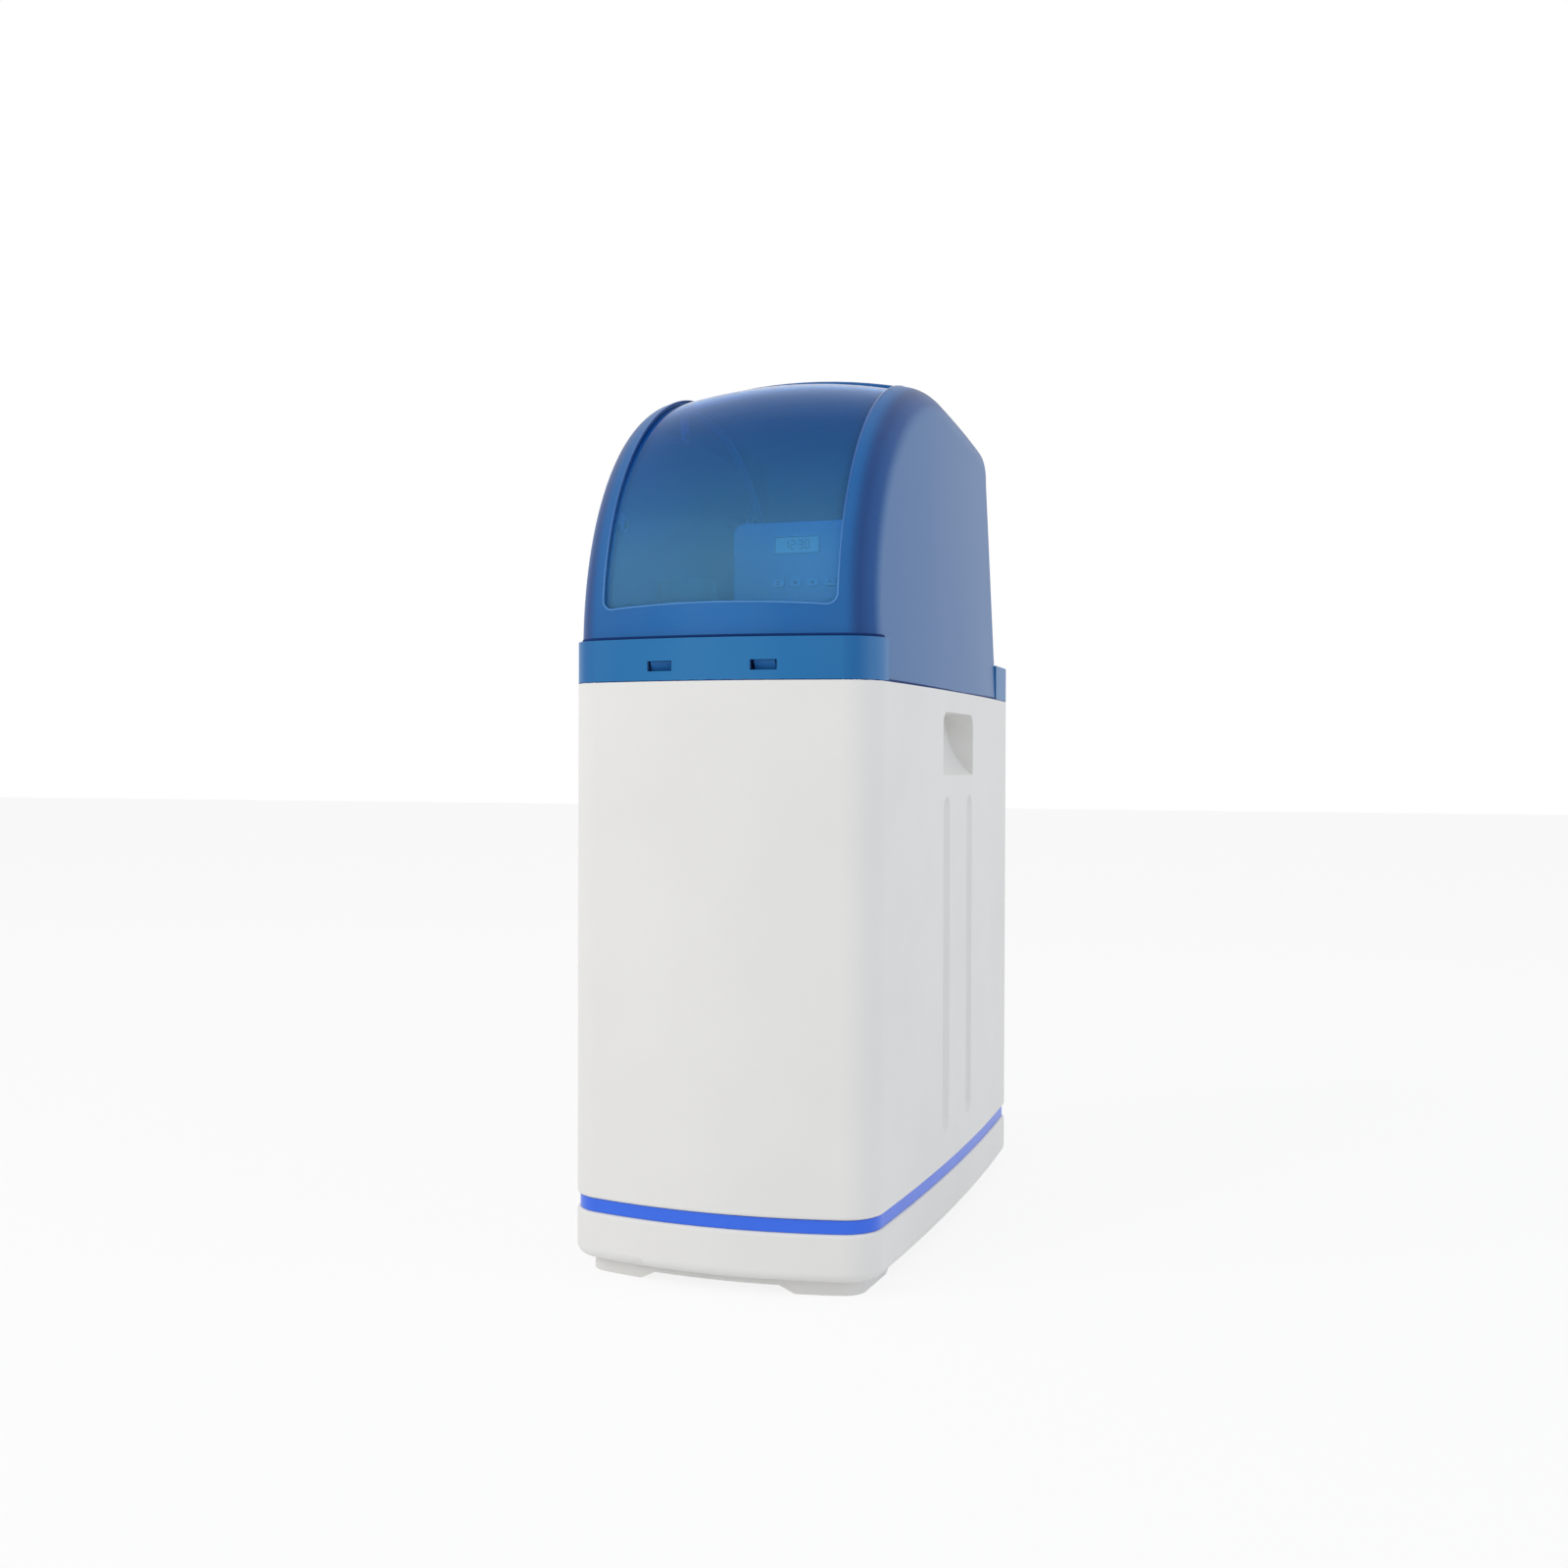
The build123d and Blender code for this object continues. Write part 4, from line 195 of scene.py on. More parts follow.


# frosted plastic with painted light: its tone follows how far a face looks sideways, painted shade round the
# corners and painted light on the sides, under long upright streaks of painted light from inside
def frostedPlasticPaintedLight(name, look):
    material, tree = newMaterial(name)
    coordinates = addNode(tree, "ShaderNodeTexCoord")
    place = coordinates.outputs["Object"]
    facing = addNode(tree, "ShaderNodeSeparateXYZ", {"Vector": coordinates.outputs["Normal"]})
    sideways = addNode(tree, "ShaderNodeMath", {0: facing.outputs["X"]}, operation="ABSOLUTE")
    # tone by facing: painted shade where faces turn round the corners, painted light where they look sideways
    ramp = addNode(tree, "ShaderNodeValToRGB", {"Fac": sideways.outputs[0]})
    ramp.color_ramp.interpolation = "EASE"
    while len(ramp.color_ramp.elements) < len(look["stops"]):
        ramp.color_ramp.elements.new(0.5)  # the loop below gives its place
    for element, (position, tone) in zip(ramp.color_ramp.elements, look["stops"]):
        element.position = position
        element.color = linearColour(tone)
    squashed = addNode(tree, "ShaderNodeMapping", {
        "Vector": place, "Scale": (1.0, 1.0, look["streakSquash"]),
    })
    streaks = addNode(tree, "ShaderNodeTexNoise", {
        "Vector": squashed.outputs["Vector"], "Scale": 1 / look["streak"], "Detail": 2.0,
    })
    # the noise lies about a half, so twice the painted inner light as its upper end gives that light on average
    amount = addNode(tree, "ShaderNodeMapRange", {
        "Value": streaks.outputs["Fac"], "To Min": 0.0, "To Max": 2 * look["paintedInnerLight"][1],
    })
    withPaintedInnerLight = addNode(tree, "ShaderNodeMix", {
        "Factor": amount.outputs["Result"], mixFirst: ramp.outputs["Color"],
        mixSecond: linearColour(look["paintedInnerLight"][0]),
    }, data_type="RGBA")
    rough = addNode(tree, "ShaderNodeMapRange", {
        "Value": streaks.outputs["Fac"], "To Min": look["rough"][0], "To Max": look["rough"][1],
    })
    shader = addNode(tree, "ShaderNodeBsdfPrincipled", {
        "Base Color": withPaintedInnerLight.outputs[mixResult], "Roughness": rough.outputs["Result"],
        "Normal": mouldGrain(tree, place, look), "IOR": look["ior"], "Transmission Weight": look["clear"],
        "Specular IOR Level": look["gloss"],
    })
    addNode(tree, "ShaderNodeOutputMaterial", {"Surface": shader.outputs["BSDF"]})
    return material


hoodPlastic = frostedPlasticPaintedLight("frostedBlueAbs", hoodLook)
collarPlastic = frostedPlasticPaintedLight("frostedTealAbs", collarLook)

# tinted acrylic, deep blue up high and pale low down, where the pale is a painted reflection of the sky and
# painted light from inside
# its index is low, so that the gloss of a white room doesn't hide the inside
windowLook = {"low": "#88D4FF", "high": "#2496E8", "span": (0.55, 0.66), "ripple": 0.06, "bump": 0.02,
              "rough": 0.03, "ior": 1.16, "clear": 0.84, "gloss": 0.5}
# polished lip of the window opening: a painted highlight along the sill, deeper blue further up
lipLook = {"low": "#3F83C4", "high": "#1C5FA8", "span": (0.525, 0.60), "ripple": 0.03, "bump": 0.02,
           "rough": 0.14, "ior": 1.53, "clear": 0.0, "gloss": 0.5}


# smooth plastic whose tint goes from one tone to another over a span of heights, with a faint ripple; the paler
# tone low down is painted light
def plasticPaintedLightByHeight(name, look):
    material, tree = newMaterial(name)
    place = addNode(tree, "ShaderNodeTexCoord").outputs["Object"]
    height = addNode(tree, "ShaderNodeSeparateXYZ", {"Vector": place})
    share = addNode(tree, "ShaderNodeMapRange", {
        "Value": height.outputs["Z"], "From Min": look["span"][0], "From Max": look["span"][1],
    })
    colour = addNode(tree, "ShaderNodeMix", {
        "Factor": share.outputs["Result"], mixFirst: linearColour(look["low"]),
        mixSecond: linearColour(look["high"]),
    }, data_type="RGBA")
    ripple = addNode(tree, "ShaderNodeTexNoise", {
        "Vector": place, "Scale": 1 / look["ripple"], "Detail": 1.0,
    })
    bump = addNode(tree, "ShaderNodeBump", {
        "Height": ripple.outputs["Fac"], "Strength": look["bump"], "Distance": mm,
    })
    shader = addNode(tree, "ShaderNodeBsdfPrincipled", {
        "Base Color": colour.outputs[mixResult], "Roughness": look["rough"], "Normal": bump.outputs["Normal"],
        "IOR": look["ior"], "Transmission Weight": look["clear"], "Specular IOR Level": look["gloss"],
    })
    addNode(tree, "ShaderNodeOutputMaterial", {"Surface": shader.outputs["BSDF"]})
    return material


windowAcrylic = plasticPaintedLightByHeight("tintedAcrylic", windowLook)
lipPlastic = plasticPaintedLightByHeight("polishedLip", lipLook)

# metals: zinc-plated steel of the screws and of the motor's can, with fine turning marks
metalLooks = {
    "zincPlatedSteel": {"tones": ("#B9BAB8", "#A9AAA7"), "patch": 0.004, "rough": (0.26, 0.40),
                        "line": 0.0008},
    "motorCanSteel": {"tones": ("#A7A8A6", "#989A98"), "patch": 0.02, "rough": (0.30, 0.44),
                      "line": 0.0012},
}
markLength = 12.0  # a turning mark is so many times as long round the piece as it is wide


# plated metal: tone drift, and roughness in thin lines that lie round an upright axis
def platedMetal(name, look):
    material, tree = newMaterial(name)
    place = addNode(tree, "ShaderNodeTexCoord").outputs["Object"]
    colour, patches = driftingTone(tree, place, look["tones"], look["patch"])
    squashed = addNode(tree, "ShaderNodeMapping", {"Vector": place, "Scale": (1.0, 1.0, markLength)})
    lines = addNode(tree, "ShaderNodeTexNoise", {
        "Vector": squashed.outputs["Vector"], "Scale": 1 / (markLength * look["line"]), "Detail": 2.0,
    })
    rough = addNode(tree, "ShaderNodeMapRange", {
        "Value": lines.outputs["Fac"], "To Min": look["rough"][0], "To Max": look["rough"][1],
    })
    shader = addNode(tree, "ShaderNodeBsdfPrincipled", {
        "Base Color": colour, "Roughness": rough.outputs["Result"], "Metallic": 1.0,
    })
    addNode(tree, "ShaderNodeOutputMaterial", {"Surface": shader.outputs["BSDF"]})
    return material


metals = {name: platedMetal(name, look) for name, look in metalLooks.items()}

# wound fibreglass of the tank: crossing bands of roving under blue gel coat
windingLook = {"tones": ("#2B5F94", "#3A74AB"), "band": 0.009, "pitch": 1.1, "waver": 0.6, "depth": 0.4 * mm,
               "rough": 0.34, "bump": 0.35, "ior": 1.55}
waveBand = 0.16  # about the width in metres of one band of a wave texture at scale 1


# wound roving: two sets of bands, turned by the winding's pitch either way, the higher one on top
def woundFibreglass(name, look):
    material, tree = newMaterial(name)
    place = addNode(tree, "ShaderNodeTexCoord").outputs["Object"]
    heights = []
    for slope in (look["pitch"], -look["pitch"]):
        turned = addNode(tree, "ShaderNodeMapping", {"Vector": place, "Rotation": (slope, 0.0, slope)})
        bands = addNode(tree, "ShaderNodeTexWave", {
            "Vector": turned.outputs["Vector"], "Scale": waveBand / look["band"], "Distortion": look["waver"],
            "Detail": 2.0,
        }, bands_direction="Z")
        heights.append(bands.outputs["Fac"])
    crossed = addNode(tree, "ShaderNodeMath", {0: heights[0], 1: heights[1]}, operation="MAXIMUM")
    colour = addNode(tree, "ShaderNodeMix", {
        "Factor": crossed.outputs[0], mixFirst: linearColour(look["tones"][0]),
        mixSecond: linearColour(look["tones"][1]),
    }, data_type="RGBA")
    bump = addNode(tree, "ShaderNodeBump", {
        "Height": crossed.outputs[0], "Strength": look["bump"], "Distance": look["depth"],
    })
    shader = addNode(tree, "ShaderNodeBsdfPrincipled", {
        "Base Color": colour.outputs[mixResult], "Roughness": look["rough"], "Normal": bump.outputs["Normal"],
        "IOR": look["ior"],
    })
    addNode(tree, "ShaderNodeOutputMaterial", {"Surface": shader.outputs["BSDF"]})
    return material


tankWinding = woundFibreglass("woundFibreglass", windingLook)

# ion exchange resin: amber beads of under a millimetre, drawn at 1.6 mm so that they show
resinLook = {"edge": "#8A4E14", "heart": "#C47A26", "bead": 1.6 * mm, "rough": 0.28, "bump": 0.6, "ior": 1.56}


# beads: cells of the bead's size, raised by half of it at their hearts, with painted shade towards their edges
# where the beads meet
def resinBeads(name, look):
    material, tree = newMaterial(name)
    place = addNode(tree, "ShaderNodeTexCoord").outputs["Object"]
    beads = addNode(tree, "ShaderNodeTexVoronoi", {"Vector": place, "Scale": 1 / look["bead"]})
    colour = addNode(tree, "ShaderNodeMix", {
        "Factor": beads.outputs["Distance"], mixFirst: linearColour(look["heart"]),
        mixSecond: linearColour(look["edge"]),
    }, data_type="RGBA")
    bump = addNode(tree, "ShaderNodeBump", {
        "Height": beads.outputs["Distance"], "Strength": look["bump"], "Distance": look["bead"] / 2,
    }, invert=True)
    shader = addNode(tree, "ShaderNodeBsdfPrincipled", {
        "Base Color": colour.outputs[mixResult], "Roughness": look["rough"], "Normal": bump.outputs["Normal"],
        "IOR": look["ior"],
    })
    addNode(tree, "ShaderNodeOutputMaterial", {"Surface": shader.outputs["BSDF"]})
    return material


resinMaterial = resinBeads("resinBeads", resinLook)

# solder-masked board: dark green, with a faint grid of tracks; gap and run are given in track widths
boardLook = {"ground": "#0E4A2A", "line": "#1B6A3E", "track": 2.5 * mm, "gapTracks": 1 / 8, "runTracks": 6,
             "rough": (0.24, 0.36), "ior": 1.56}


# solder mask: rows of long fields with thin lines between them, the lines rougher than the fields
def solderMask(name, look):
    material, tree = newMaterial(name)
    place = addNode(tree, "ShaderNodeTexCoord").outputs["Object"]
    tracks = addNode(tree, "ShaderNodeTexBrick", {
        "Vector": place, "Scale": 1.0, "Mortar Size": look["gapTracks"] * look["track"],
        "Brick Width": look["runTracks"] * look["track"], "Row Height": look["track"],
        "Color1": linearColour(look["ground"]), "Color2": linearColour(look["ground"]),
        "Mortar": linearColour(look["line"]),
    })
    rough = addNode(tree, "ShaderNodeMapRange", {
        "Value": tracks.outputs["Fac"], "To Min": look["rough"][0], "To Max": look["rough"][1],
    })
    shader = addNode(tree, "ShaderNodeBsdfPrincipled", {
        "Base Color": tracks.outputs["Color"], "Roughness": rough.outputs["Result"], "IOR": look["ior"],
    })
    addNode(tree, "ShaderNodeOutputMaterial", {"Surface": shader.outputs["BSDF"]})
    return material


boardMaterial = solderMask("solderMaskGreen", boardLook)
print("materials ready")

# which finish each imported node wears
wears = {
    plastics["polyethyleneWhite"]: ["cabinet"],
    plastics["vinylRoyalBlue"]: ["trim_band"],
    hoodPlastic: ["hood"],
    collarPlastic: ["collar"],
    windowAcrylic: ["window_panel"],
    plastics["polypropyleneSlate"]: ["well_cap", "tank_boot"],
    plastics["acetalBlue"]: ["left_rail", "right_rail"],
    metals["zincPlatedSteel"]: ["rail_screws", "plate_screws"],
    metals["motorCanSteel"]: ["drive_motor"],
    tankWinding: ["resin_tank"],
    resinMaterial: ["resin_bed"],
    plastics["filledNylonBlack"]: ["valve_body", "gear_plate", "bypass_body", "power_socket"],
    plastics["aluminaIvory"]: ["fixed_disc", "moving_disc"],
    plastics["acetalNatural"]: ["disc_shaft", "driven_gear", "pinion_gear"],
    plastics["absPaleGrey"]: ["valve_cover"],
    plastics["absPanel"]: ["control_panel"],
    plastics["crystalGlass"]: ["display_lens"],
    plastics["siliconePale"]: ["menu_button", "confirm_button", "down_button", "up_button"],
    boardMaterial: ["circuit_board"],
    plastics["acetalRed"]: ["inlet_handle", "outlet_handle"],
    plastics["absWhite"]: [
        "riser_tube", "lower_strainer", "upper_strainer", "port_clips", "meter_ring", "meter_turbine",
        "drain_elbow", "overflow_elbow", "overflow_nut", "brine_well", "brine_pipe", "brine_float",
        "brine_tube", "salt_grid",
    ],
}
for material, names in wears.items():
    for name in names:
        nodes[name].data.materials.clear()
        nodes[name].data.materials.append(material)
dressed = {name for names in wears.values() for name in names}
print("nodes without a finish:", sorted(set(nodes) - dressed))


# a mesh from vertices and faces, with its finish and its body
def addPiece(name, vertices, faces, material, body, flatFaces):
    mesh = bpy.data.meshes.new(name)
    mesh.from_pydata(vertices.reshape(-1, 3).tolist(), [], faces)
    smooth = np.ones(len(mesh.polygons), bool)
    if flatFaces:
        smooth[-flatFaces:] = False
    mesh.polygons.foreach_set("use_smooth", smooth)
    mesh.materials.append(material)
    mesh.update()
    piece = bpy.data.objects.new(name, mesh)
    bpy.context.scene.collection.objects.link(piece)
    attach(piece, body)
    return piece


# quads over a grid of rows and columns: columns close on themselves, and rows do where asked
def gridFaces(rows, columns, wrapRows):
    row = np.arange(rows if wrapRows else rows - 1)[:, None]
    column = np.arange(columns)[None, :]
    row, column = np.broadcast_arrays(row, column)
    nextRow = (row + 1) % rows
    nextColumn = (column + 1) % columns
    corners = [row * columns + column, row * columns + nextColumn, nextRow * columns + nextColumn,
               nextRow * columns + column]
    return np.stack(corners, -1).reshape(-1, 4).tolist()


# a closed section carried along a path: sections is (steps, points round, 3), and an open path has caps
def addSweep(name, sections, material, body, closed=False):
    steps, around = sections.shape[:2]
    faces = gridFaces(steps, around, closed)
    caps = 0
    if not closed:
        faces += [list(range(around))[::-1], list(range((steps - 1) * around, steps * around))]
        caps = 2
    return addPiece(name, sections, faces, material, body, caps)


# step at each point of a path: from the point before it to the point after it
def pathSteps(path, closed):
    ahead = np.roll(path, -1, 0) - np.roll(path, 1, 0)
    if not closed:
        ahead[0] = path[1] - path[0]
        ahead[-1] = path[-1] - path[-2]
    return ahead


# a tube along a path, sunk along its normals: its centre, plus the radius times the cosine of a turn along
# the normal, plus the radius times the sine of that turn along the side
def tubeSections(path, normals, radius, around, closed, sink):
    ahead = pathSteps(path, closed)
    tangent = ahead / np.linalg.norm(ahead, axis=1, keepdims=True)
    side = np.cross(tangent, normals)
    side /= np.linalg.norm(side, axis=1, keepdims=True)
    upright = np.cross(side, tangent)
    turn = np.linspace(0, 2 * np.pi, around, endpoint=False)[None, :, None]
    centre = (path - sink * upright)[:, None, :]
    return centre + radius * (np.cos(turn) * upright[:, None, :] + np.sin(turn) * side[:, None, :])


# the dome that hood and window share, about the window's own turning axis
windowJoint = next(joint for joint in frame["joints"] if joint["child"] == "window")
hoodLow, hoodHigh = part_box("hood")
dome = {
    "y": windowJoint["pos_m"][1],
    "z": windowJoint["pos_m"][2],
    "radius": hoodHigh.z - windowJoint["pos_m"][2],
    "bow": 440 * mm,  # radius of its bow from side to side
}


# distance of the dome from its axis at a place across the hood, with the surface set in by an inset:
# radius less bow, plus the root of the set-in bow squared less the place squared
def crownRadius(x, inset):
    return dome["radius"] - dome["bow"] + np.sqrt((dome["bow"] - inset) ** 2 - x ** 2)


# point of the dome: turned forwards by an angle from straight up
def domePoint(x, radius, angle):
    y = dome["y"] - radius * np.sin(angle)
    z = dome["z"] + radius * np.cos(angle)
    return np.stack(np.broadcast_arrays(x, y, z), -1)


paneShape = {"recess": 3.3 * mm, "thickness": 3.0 * mm, "edge": 0.8 * mm, "frontDegrees": 88.4,
             "rearDegrees": -8.0, "steps": 120, "across": 40, "edgeSteps": 5}


# window: a lens section of two concentric bows with rounded edges, turned about the dome's axis
def buildWindowPane(shape):
    edge = shape["edge"]
    outer = shape["recess"]
    inner = shape["recess"] + shape["thickness"]
    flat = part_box("window_panel")[1].x - edge
    across = np.linspace(-flat, flat, shape["across"])
    quarter = np.linspace(0, np.pi / 2, shape["edgeSteps"] + 1)[1:-1]
    outerRadius = crownRadius(across, outer)
    innerRadius = crownRadius(across, inner)
    rightX = np.concatenate([flat + edge * np.sin(quarter), flat + edge * np.cos(quarter)])
    rightTop = crownRadius(flat, outer) - edge * (1 - np.cos(quarter))
    rightLow = crownRadius(flat, inner) + edge * (1 - np.sin(quarter))
    rightRadius = np.concatenate([rightTop, rightLow])
    x = np.concatenate([across, rightX, across[::-1], -rightX[::-1]])
    radius = np.concatenate([outerRadius, rightRadius, innerRadius[::-1], rightRadius[::-1]])
    angle = np.radians(np.linspace(shape["frontDegrees"], shape["rearDegrees"], shape["steps"]))
    sections = domePoint(x[None, :], radius[None, :], angle[:, None])
    pane = addSweep("windowPane", sections, windowAcrylic, "window")
    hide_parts("window_panel")


buildWindowPane(paneShape)
print("window pane built")

beadShape = {"half": 94 * mm, "sill": 510 * mm, "arch": 3.5 * mm, "corner": 8 * mm, "rearDegrees": -5.0,
             "radius": 0.8 * mm, "sink": 0.35 * mm, "sideSteps": 90, "acrossSteps": 40, "cornerSteps": 10,
             "around": 10}


# rounded lip of the window opening: straight sides on the dome, arched sill, round lower corners
def buildOpeningBead(shape):
    half = shape["half"]
    corner = shape["corner"]
    flat = half - corner
    sillX = np.linspace(-flat, flat, shape["acrossSteps"])
    sillZ = shape["sill"] + shape["arch"] * (1 - (sillX / half) ** 2)
    bend = np.linspace(0, np.pi / 2, shape["cornerSteps"] + 1)[1:]
    cornerZ = sillZ[-1] + corner
    cornerX = flat + corner * np.sin(bend)
    riseZ = cornerZ - corner * np.cos(bend)
    lowX = np.concatenate([-cornerX[::-1], sillX, cornerX])
    lowZ = np.concatenate([riseZ[::-1], sillZ, riseZ])
    lowAngle = np.arccos((lowZ - dome["z"]) / crownRadius(lowX, 0))
    upAngle = np.linspace(lowAngle[-1], math.radians(shape["rearDegrees"]), shape["sideSteps"])[1:]
    topX = np.linspace(half, -half, shape["acrossSteps"])[1:-1]
    x = np.concatenate([lowX, np.full(len(upAngle), half), topX, np.full(len(upAngle), -half)])
    angle = np.concatenate([lowAngle, upAngle, np.full(len(topX), upAngle[-1]), upAngle[::-1]])
    path = domePoint(x, crownRadius(x, 0), angle)
    # outwards: the same point of a dome that is a metre larger, less the point itself
    outward = domePoint(x * (1 + 1 / dome["bow"]), crownRadius(x, 0) + 1, angle) - path
    outward /= np.linalg.norm(outward, axis=1, keepdims=True)
    sections = tubeSections(path, outward, shape["radius"], shape["around"], True, shape["sink"])
    addSweep("openingBead", sections, lipPlastic, "cabinet", closed=True)


buildOpeningBead(beadShape)
print("opening's lip built")

# dark cords that paint the shadow lines of the seams: one in the step where the hood meets the collar, one in the
# seam above the cabinet's rim
shadowCordShape = {"radius": 1.6 * mm, "around": 12, "hoodRise": 1.1 * mm, "hoodSink": 0.9 * mm,
             "hoodReach": 42 * mm, "hoodSteps": 240, "rimRise": 0.2 * mm, "rimDrop": 3 * mm,
             "rimSink": 1.5 * mm, "rimSteps": 480}


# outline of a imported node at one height, seen from above: the hull of the points where its edges cross that
# height, walked round in even steps, or from left to right where only what lies in front of backY is wanted
def planOutline(name, height, count, backY=None):
    mesh = nodes[name].data
    points = np.empty(len(mesh.vertices) * 3)
    mesh.vertices.foreach_get("co", points)
    ends = np.empty(len(mesh.edges) * 2, int)
    mesh.edges.foreach_get("vertices", ends)
    first, second = points.reshape(-1, 3)[ends.reshape(-1, 2)].transpose(1, 0, 2)
    crossing = (first[:, 2] - height) * (second[:, 2] - height) < 0
    first, second = first[crossing], second[crossing]
    share = (height - first[:, 2:]) / (second[:, 2:] - first[:, 2:])
    cut = (first + share * (second - first))[:, :2]
    outline = cut[convex_hull_2d(cut.tolist())]
    if backY is None:
        outline = np.concatenate([outline, outline[:1]])
    else:
        outline = outline[outline[:, 1] < backY]
        outline = outline[np.argsort(outline[:, 0])]
    walked = np.concatenate([[0], np.cumsum(np.linalg.norm(np.diff(outline, axis=0), axis=1))])
    stops = np.linspace(0, walked[-1], count, endpoint=backY is not None)
    return np.stack([np.interp(stops, walked, outline[:, axis]) for axis in (0, 1)], -1)


# a cord along an outline at one height, sunk inwards; outwards is the outline's step, turned 90 degrees right
def addShadowCord(name, outline, height, shape, sink, closed):
    ahead = pathSteps(outline, closed)
    outward = np.stack([ahead[:, 1], -ahead[:, 0], np.zeros(len(ahead))], -1)
    outward /= np.linalg.norm(outward, axis=1, keepdims=True)
    path = np.concatenate([outline, np.full((len(outline), 1), height)], -1)
    sections = tubeSections(path, outward, shape["radius"], shape["around"], closed, sink)
    addSweep(name, sections, plastics["shadowCordBlue"], "cabinet", closed=closed)


def buildShadowCords(shape):
    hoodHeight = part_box("collar")[1].z + shape["hoodRise"]
    frontOutline = planOutline("hood", hoodHeight, shape["hoodSteps"], hoodLow.y + shape["hoodReach"])
    addShadowCord("hoodShadowCord", frontOutline, hoodHeight, shape, shape["hoodSink"], False)
    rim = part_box("cabinet")[1].z
    rimOutline = planOutline("cabinet", rim - shape["rimDrop"], shape["rimSteps"])
    addShadowCord("rimShadowCord", rimOutline, rim + shape["rimRise"], shape, shape["rimSink"], True)


buildShadowCords(shadowCordShape)
print("seals built")

displayShape = {"digits": "1230", "digitWidth": 3.7 * mm, "digitHeight": 7.2 * mm, "bar": 0.72 * mm,
                "step": 6.0 * mm, "gap": 0.22 * mm, "lift": 0.05 * mm, "colon": 0.42 * mm,
                "colonRise": 1.44 * mm, "colonRoom": 0.6 * mm, "colonCorners": 12,
                "rim": 0.9 * mm, "rimSink": 0.3 * mm, "rimReach": 1.1 * mm, "rimCorner": 1.6 * mm,
                "rimSteps": 48, "rimAround": 10}
# bars of a seven-bar digit: centre across and up as shares of half the digit, and whether it lies flat
digitBars = {"a": (0, 1, True), "b": (1, 0.5, False), "c": (1, -0.5, False), "d": (0, -1, True),
             "e": (-1, -0.5, False), "f": (-1, 0.5, False), "g": (0, 0, True)}
litBars = {"0": "abcdef", "1": "bc", "2": "abged", "3": "abgcd"}


# flat shapes with a little thickness, standing on a face that looks along -Y
def addPlates(name, outlines, faceY, lift, material, body):
    vertices = []
    faces = []
    start = 0
    for outline in outlines:
        count = len(outline)
        for y in (faceY, faceY - lift):
            vertices.append(np.stack([outline[:, 0], np.full(count, y), outline[:, 1]], -1))
        near = np.arange(start, start + count)
        far = near + count
        faces += [near[::-1].tolist(), far.tolist()]
        faces += np.stack([near, np.roll(near, -1), np.roll(far, -1), far], -1).tolist()
        start += 2 * count
    addPiece(name, np.concatenate(vertices), faces, material, body, len(faces))


# a bar with pointed ends, lying or standing
def barOutline(x, z, length, bar, lying):
    tip = bar / 2
    reach = length / 2
    outline = np.array([(-reach, 0), (-reach + tip, -tip), (reach - tip, -tip), (reach, 0),
                        (reach - tip, tip), (-reach + tip, tip)])
    return outline + (x, z) if lying else np.stack([-outline[:, 1], outline[:, 0]], -1) + (x, z)


# regular polygon about a point, its first corner at a given angle
def polygonOutline(x, z, radius, corners, firstDegrees):
    turn = math.radians(firstDegrees) + np.linspace(0, 2 * np.pi, corners, endpoint=False)
    return np.stack([x + radius * np.cos(turn), z + radius * np.sin(turn)], -1)


# digits of the display: seven-bar numbers of a clock, with room for a colon in their middle
def buildDigits(shape, middleX, middleZ, faceY):
    middlePlace = (len(shape["digits"]) - 1) / 2
    outlines = []
    for place, digit in enumerate(shape["digits"]):
        side = 1 if place > middlePlace else -1
        digitX = middleX + (place - middlePlace) * shape["step"] + side * shape["colonRoom"]
        for bar in litBars[digit]:
            across, up, lying = digitBars[bar]
            x = digitX + across * shape["digitWidth"] / 2
            z = middleZ + up * shape["digitHeight"] / 2
            length = shape["digitWidth"] if lying else shape["digitHeight"] / 2
            outlines.append(barOutline(x, z, length - shape["gap"], shape["bar"], lying))
    for side in (-1, 1):
        z = middleZ + side * shape["colonRise"]
        outlines.append(polygonOutline(middleX, z, shape["colon"], shape["colonCorners"], 0))
    addPlates("displayDigits", outlines, faceY, shape["lift"], plastics["crystalSegment"], "cabinet")


# display: its digits, and a round rim along a rectangle with round corners
def buildDisplay(shape):
    low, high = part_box("display_lens")
    middleX = (low.x + high.x) / 2
    middleZ = (low.z + high.z) / 2
    buildDigits(shape, middleX, middleZ, low.y)
    steps = shape["rimSteps"]
    corner = shape["rimCorner"]
    reachX = (high.x - low.x) / 2 + shape["rimReach"] - corner
    reachZ = (high.z - low.z) / 2 + shape["rimReach"] - corner
    turn = np.linspace(0, 2 * np.pi, steps, endpoint=False) + np.pi / steps
    x = middleX + np.sign(np.cos(turn)) * reachX + corner * np.cos(turn)
    z = middleZ + np.sign(np.sin(turn)) * reachZ + corner * np.sin(turn)
    path = np.stack([x, np.full(steps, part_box("control_panel")[0].y), z], -1)
    outward = np.tile((0.0, -1.0, 0.0), (steps, 1))
    sections = tubeSections(path, outward, shape["rim"], shape["rimAround"], True, shape["rimSink"])
    addSweep("displayRim", sections, plastics["absWhite"], "cabinet", closed=True)


buildDisplay(displayShape)

markShape = {"size": 1.9 * mm, "bar": 0.6 * mm, "barPitch": 1.178 * mm, "dot": 1.52 * mm, "dotCorners": 24,
             "lift": 0.08 * mm}
keyBodies = {"menu_button": "menu_key", "confirm_button": "confirm_key", "down_button": "down_key",
             "up_button": "up_key"}


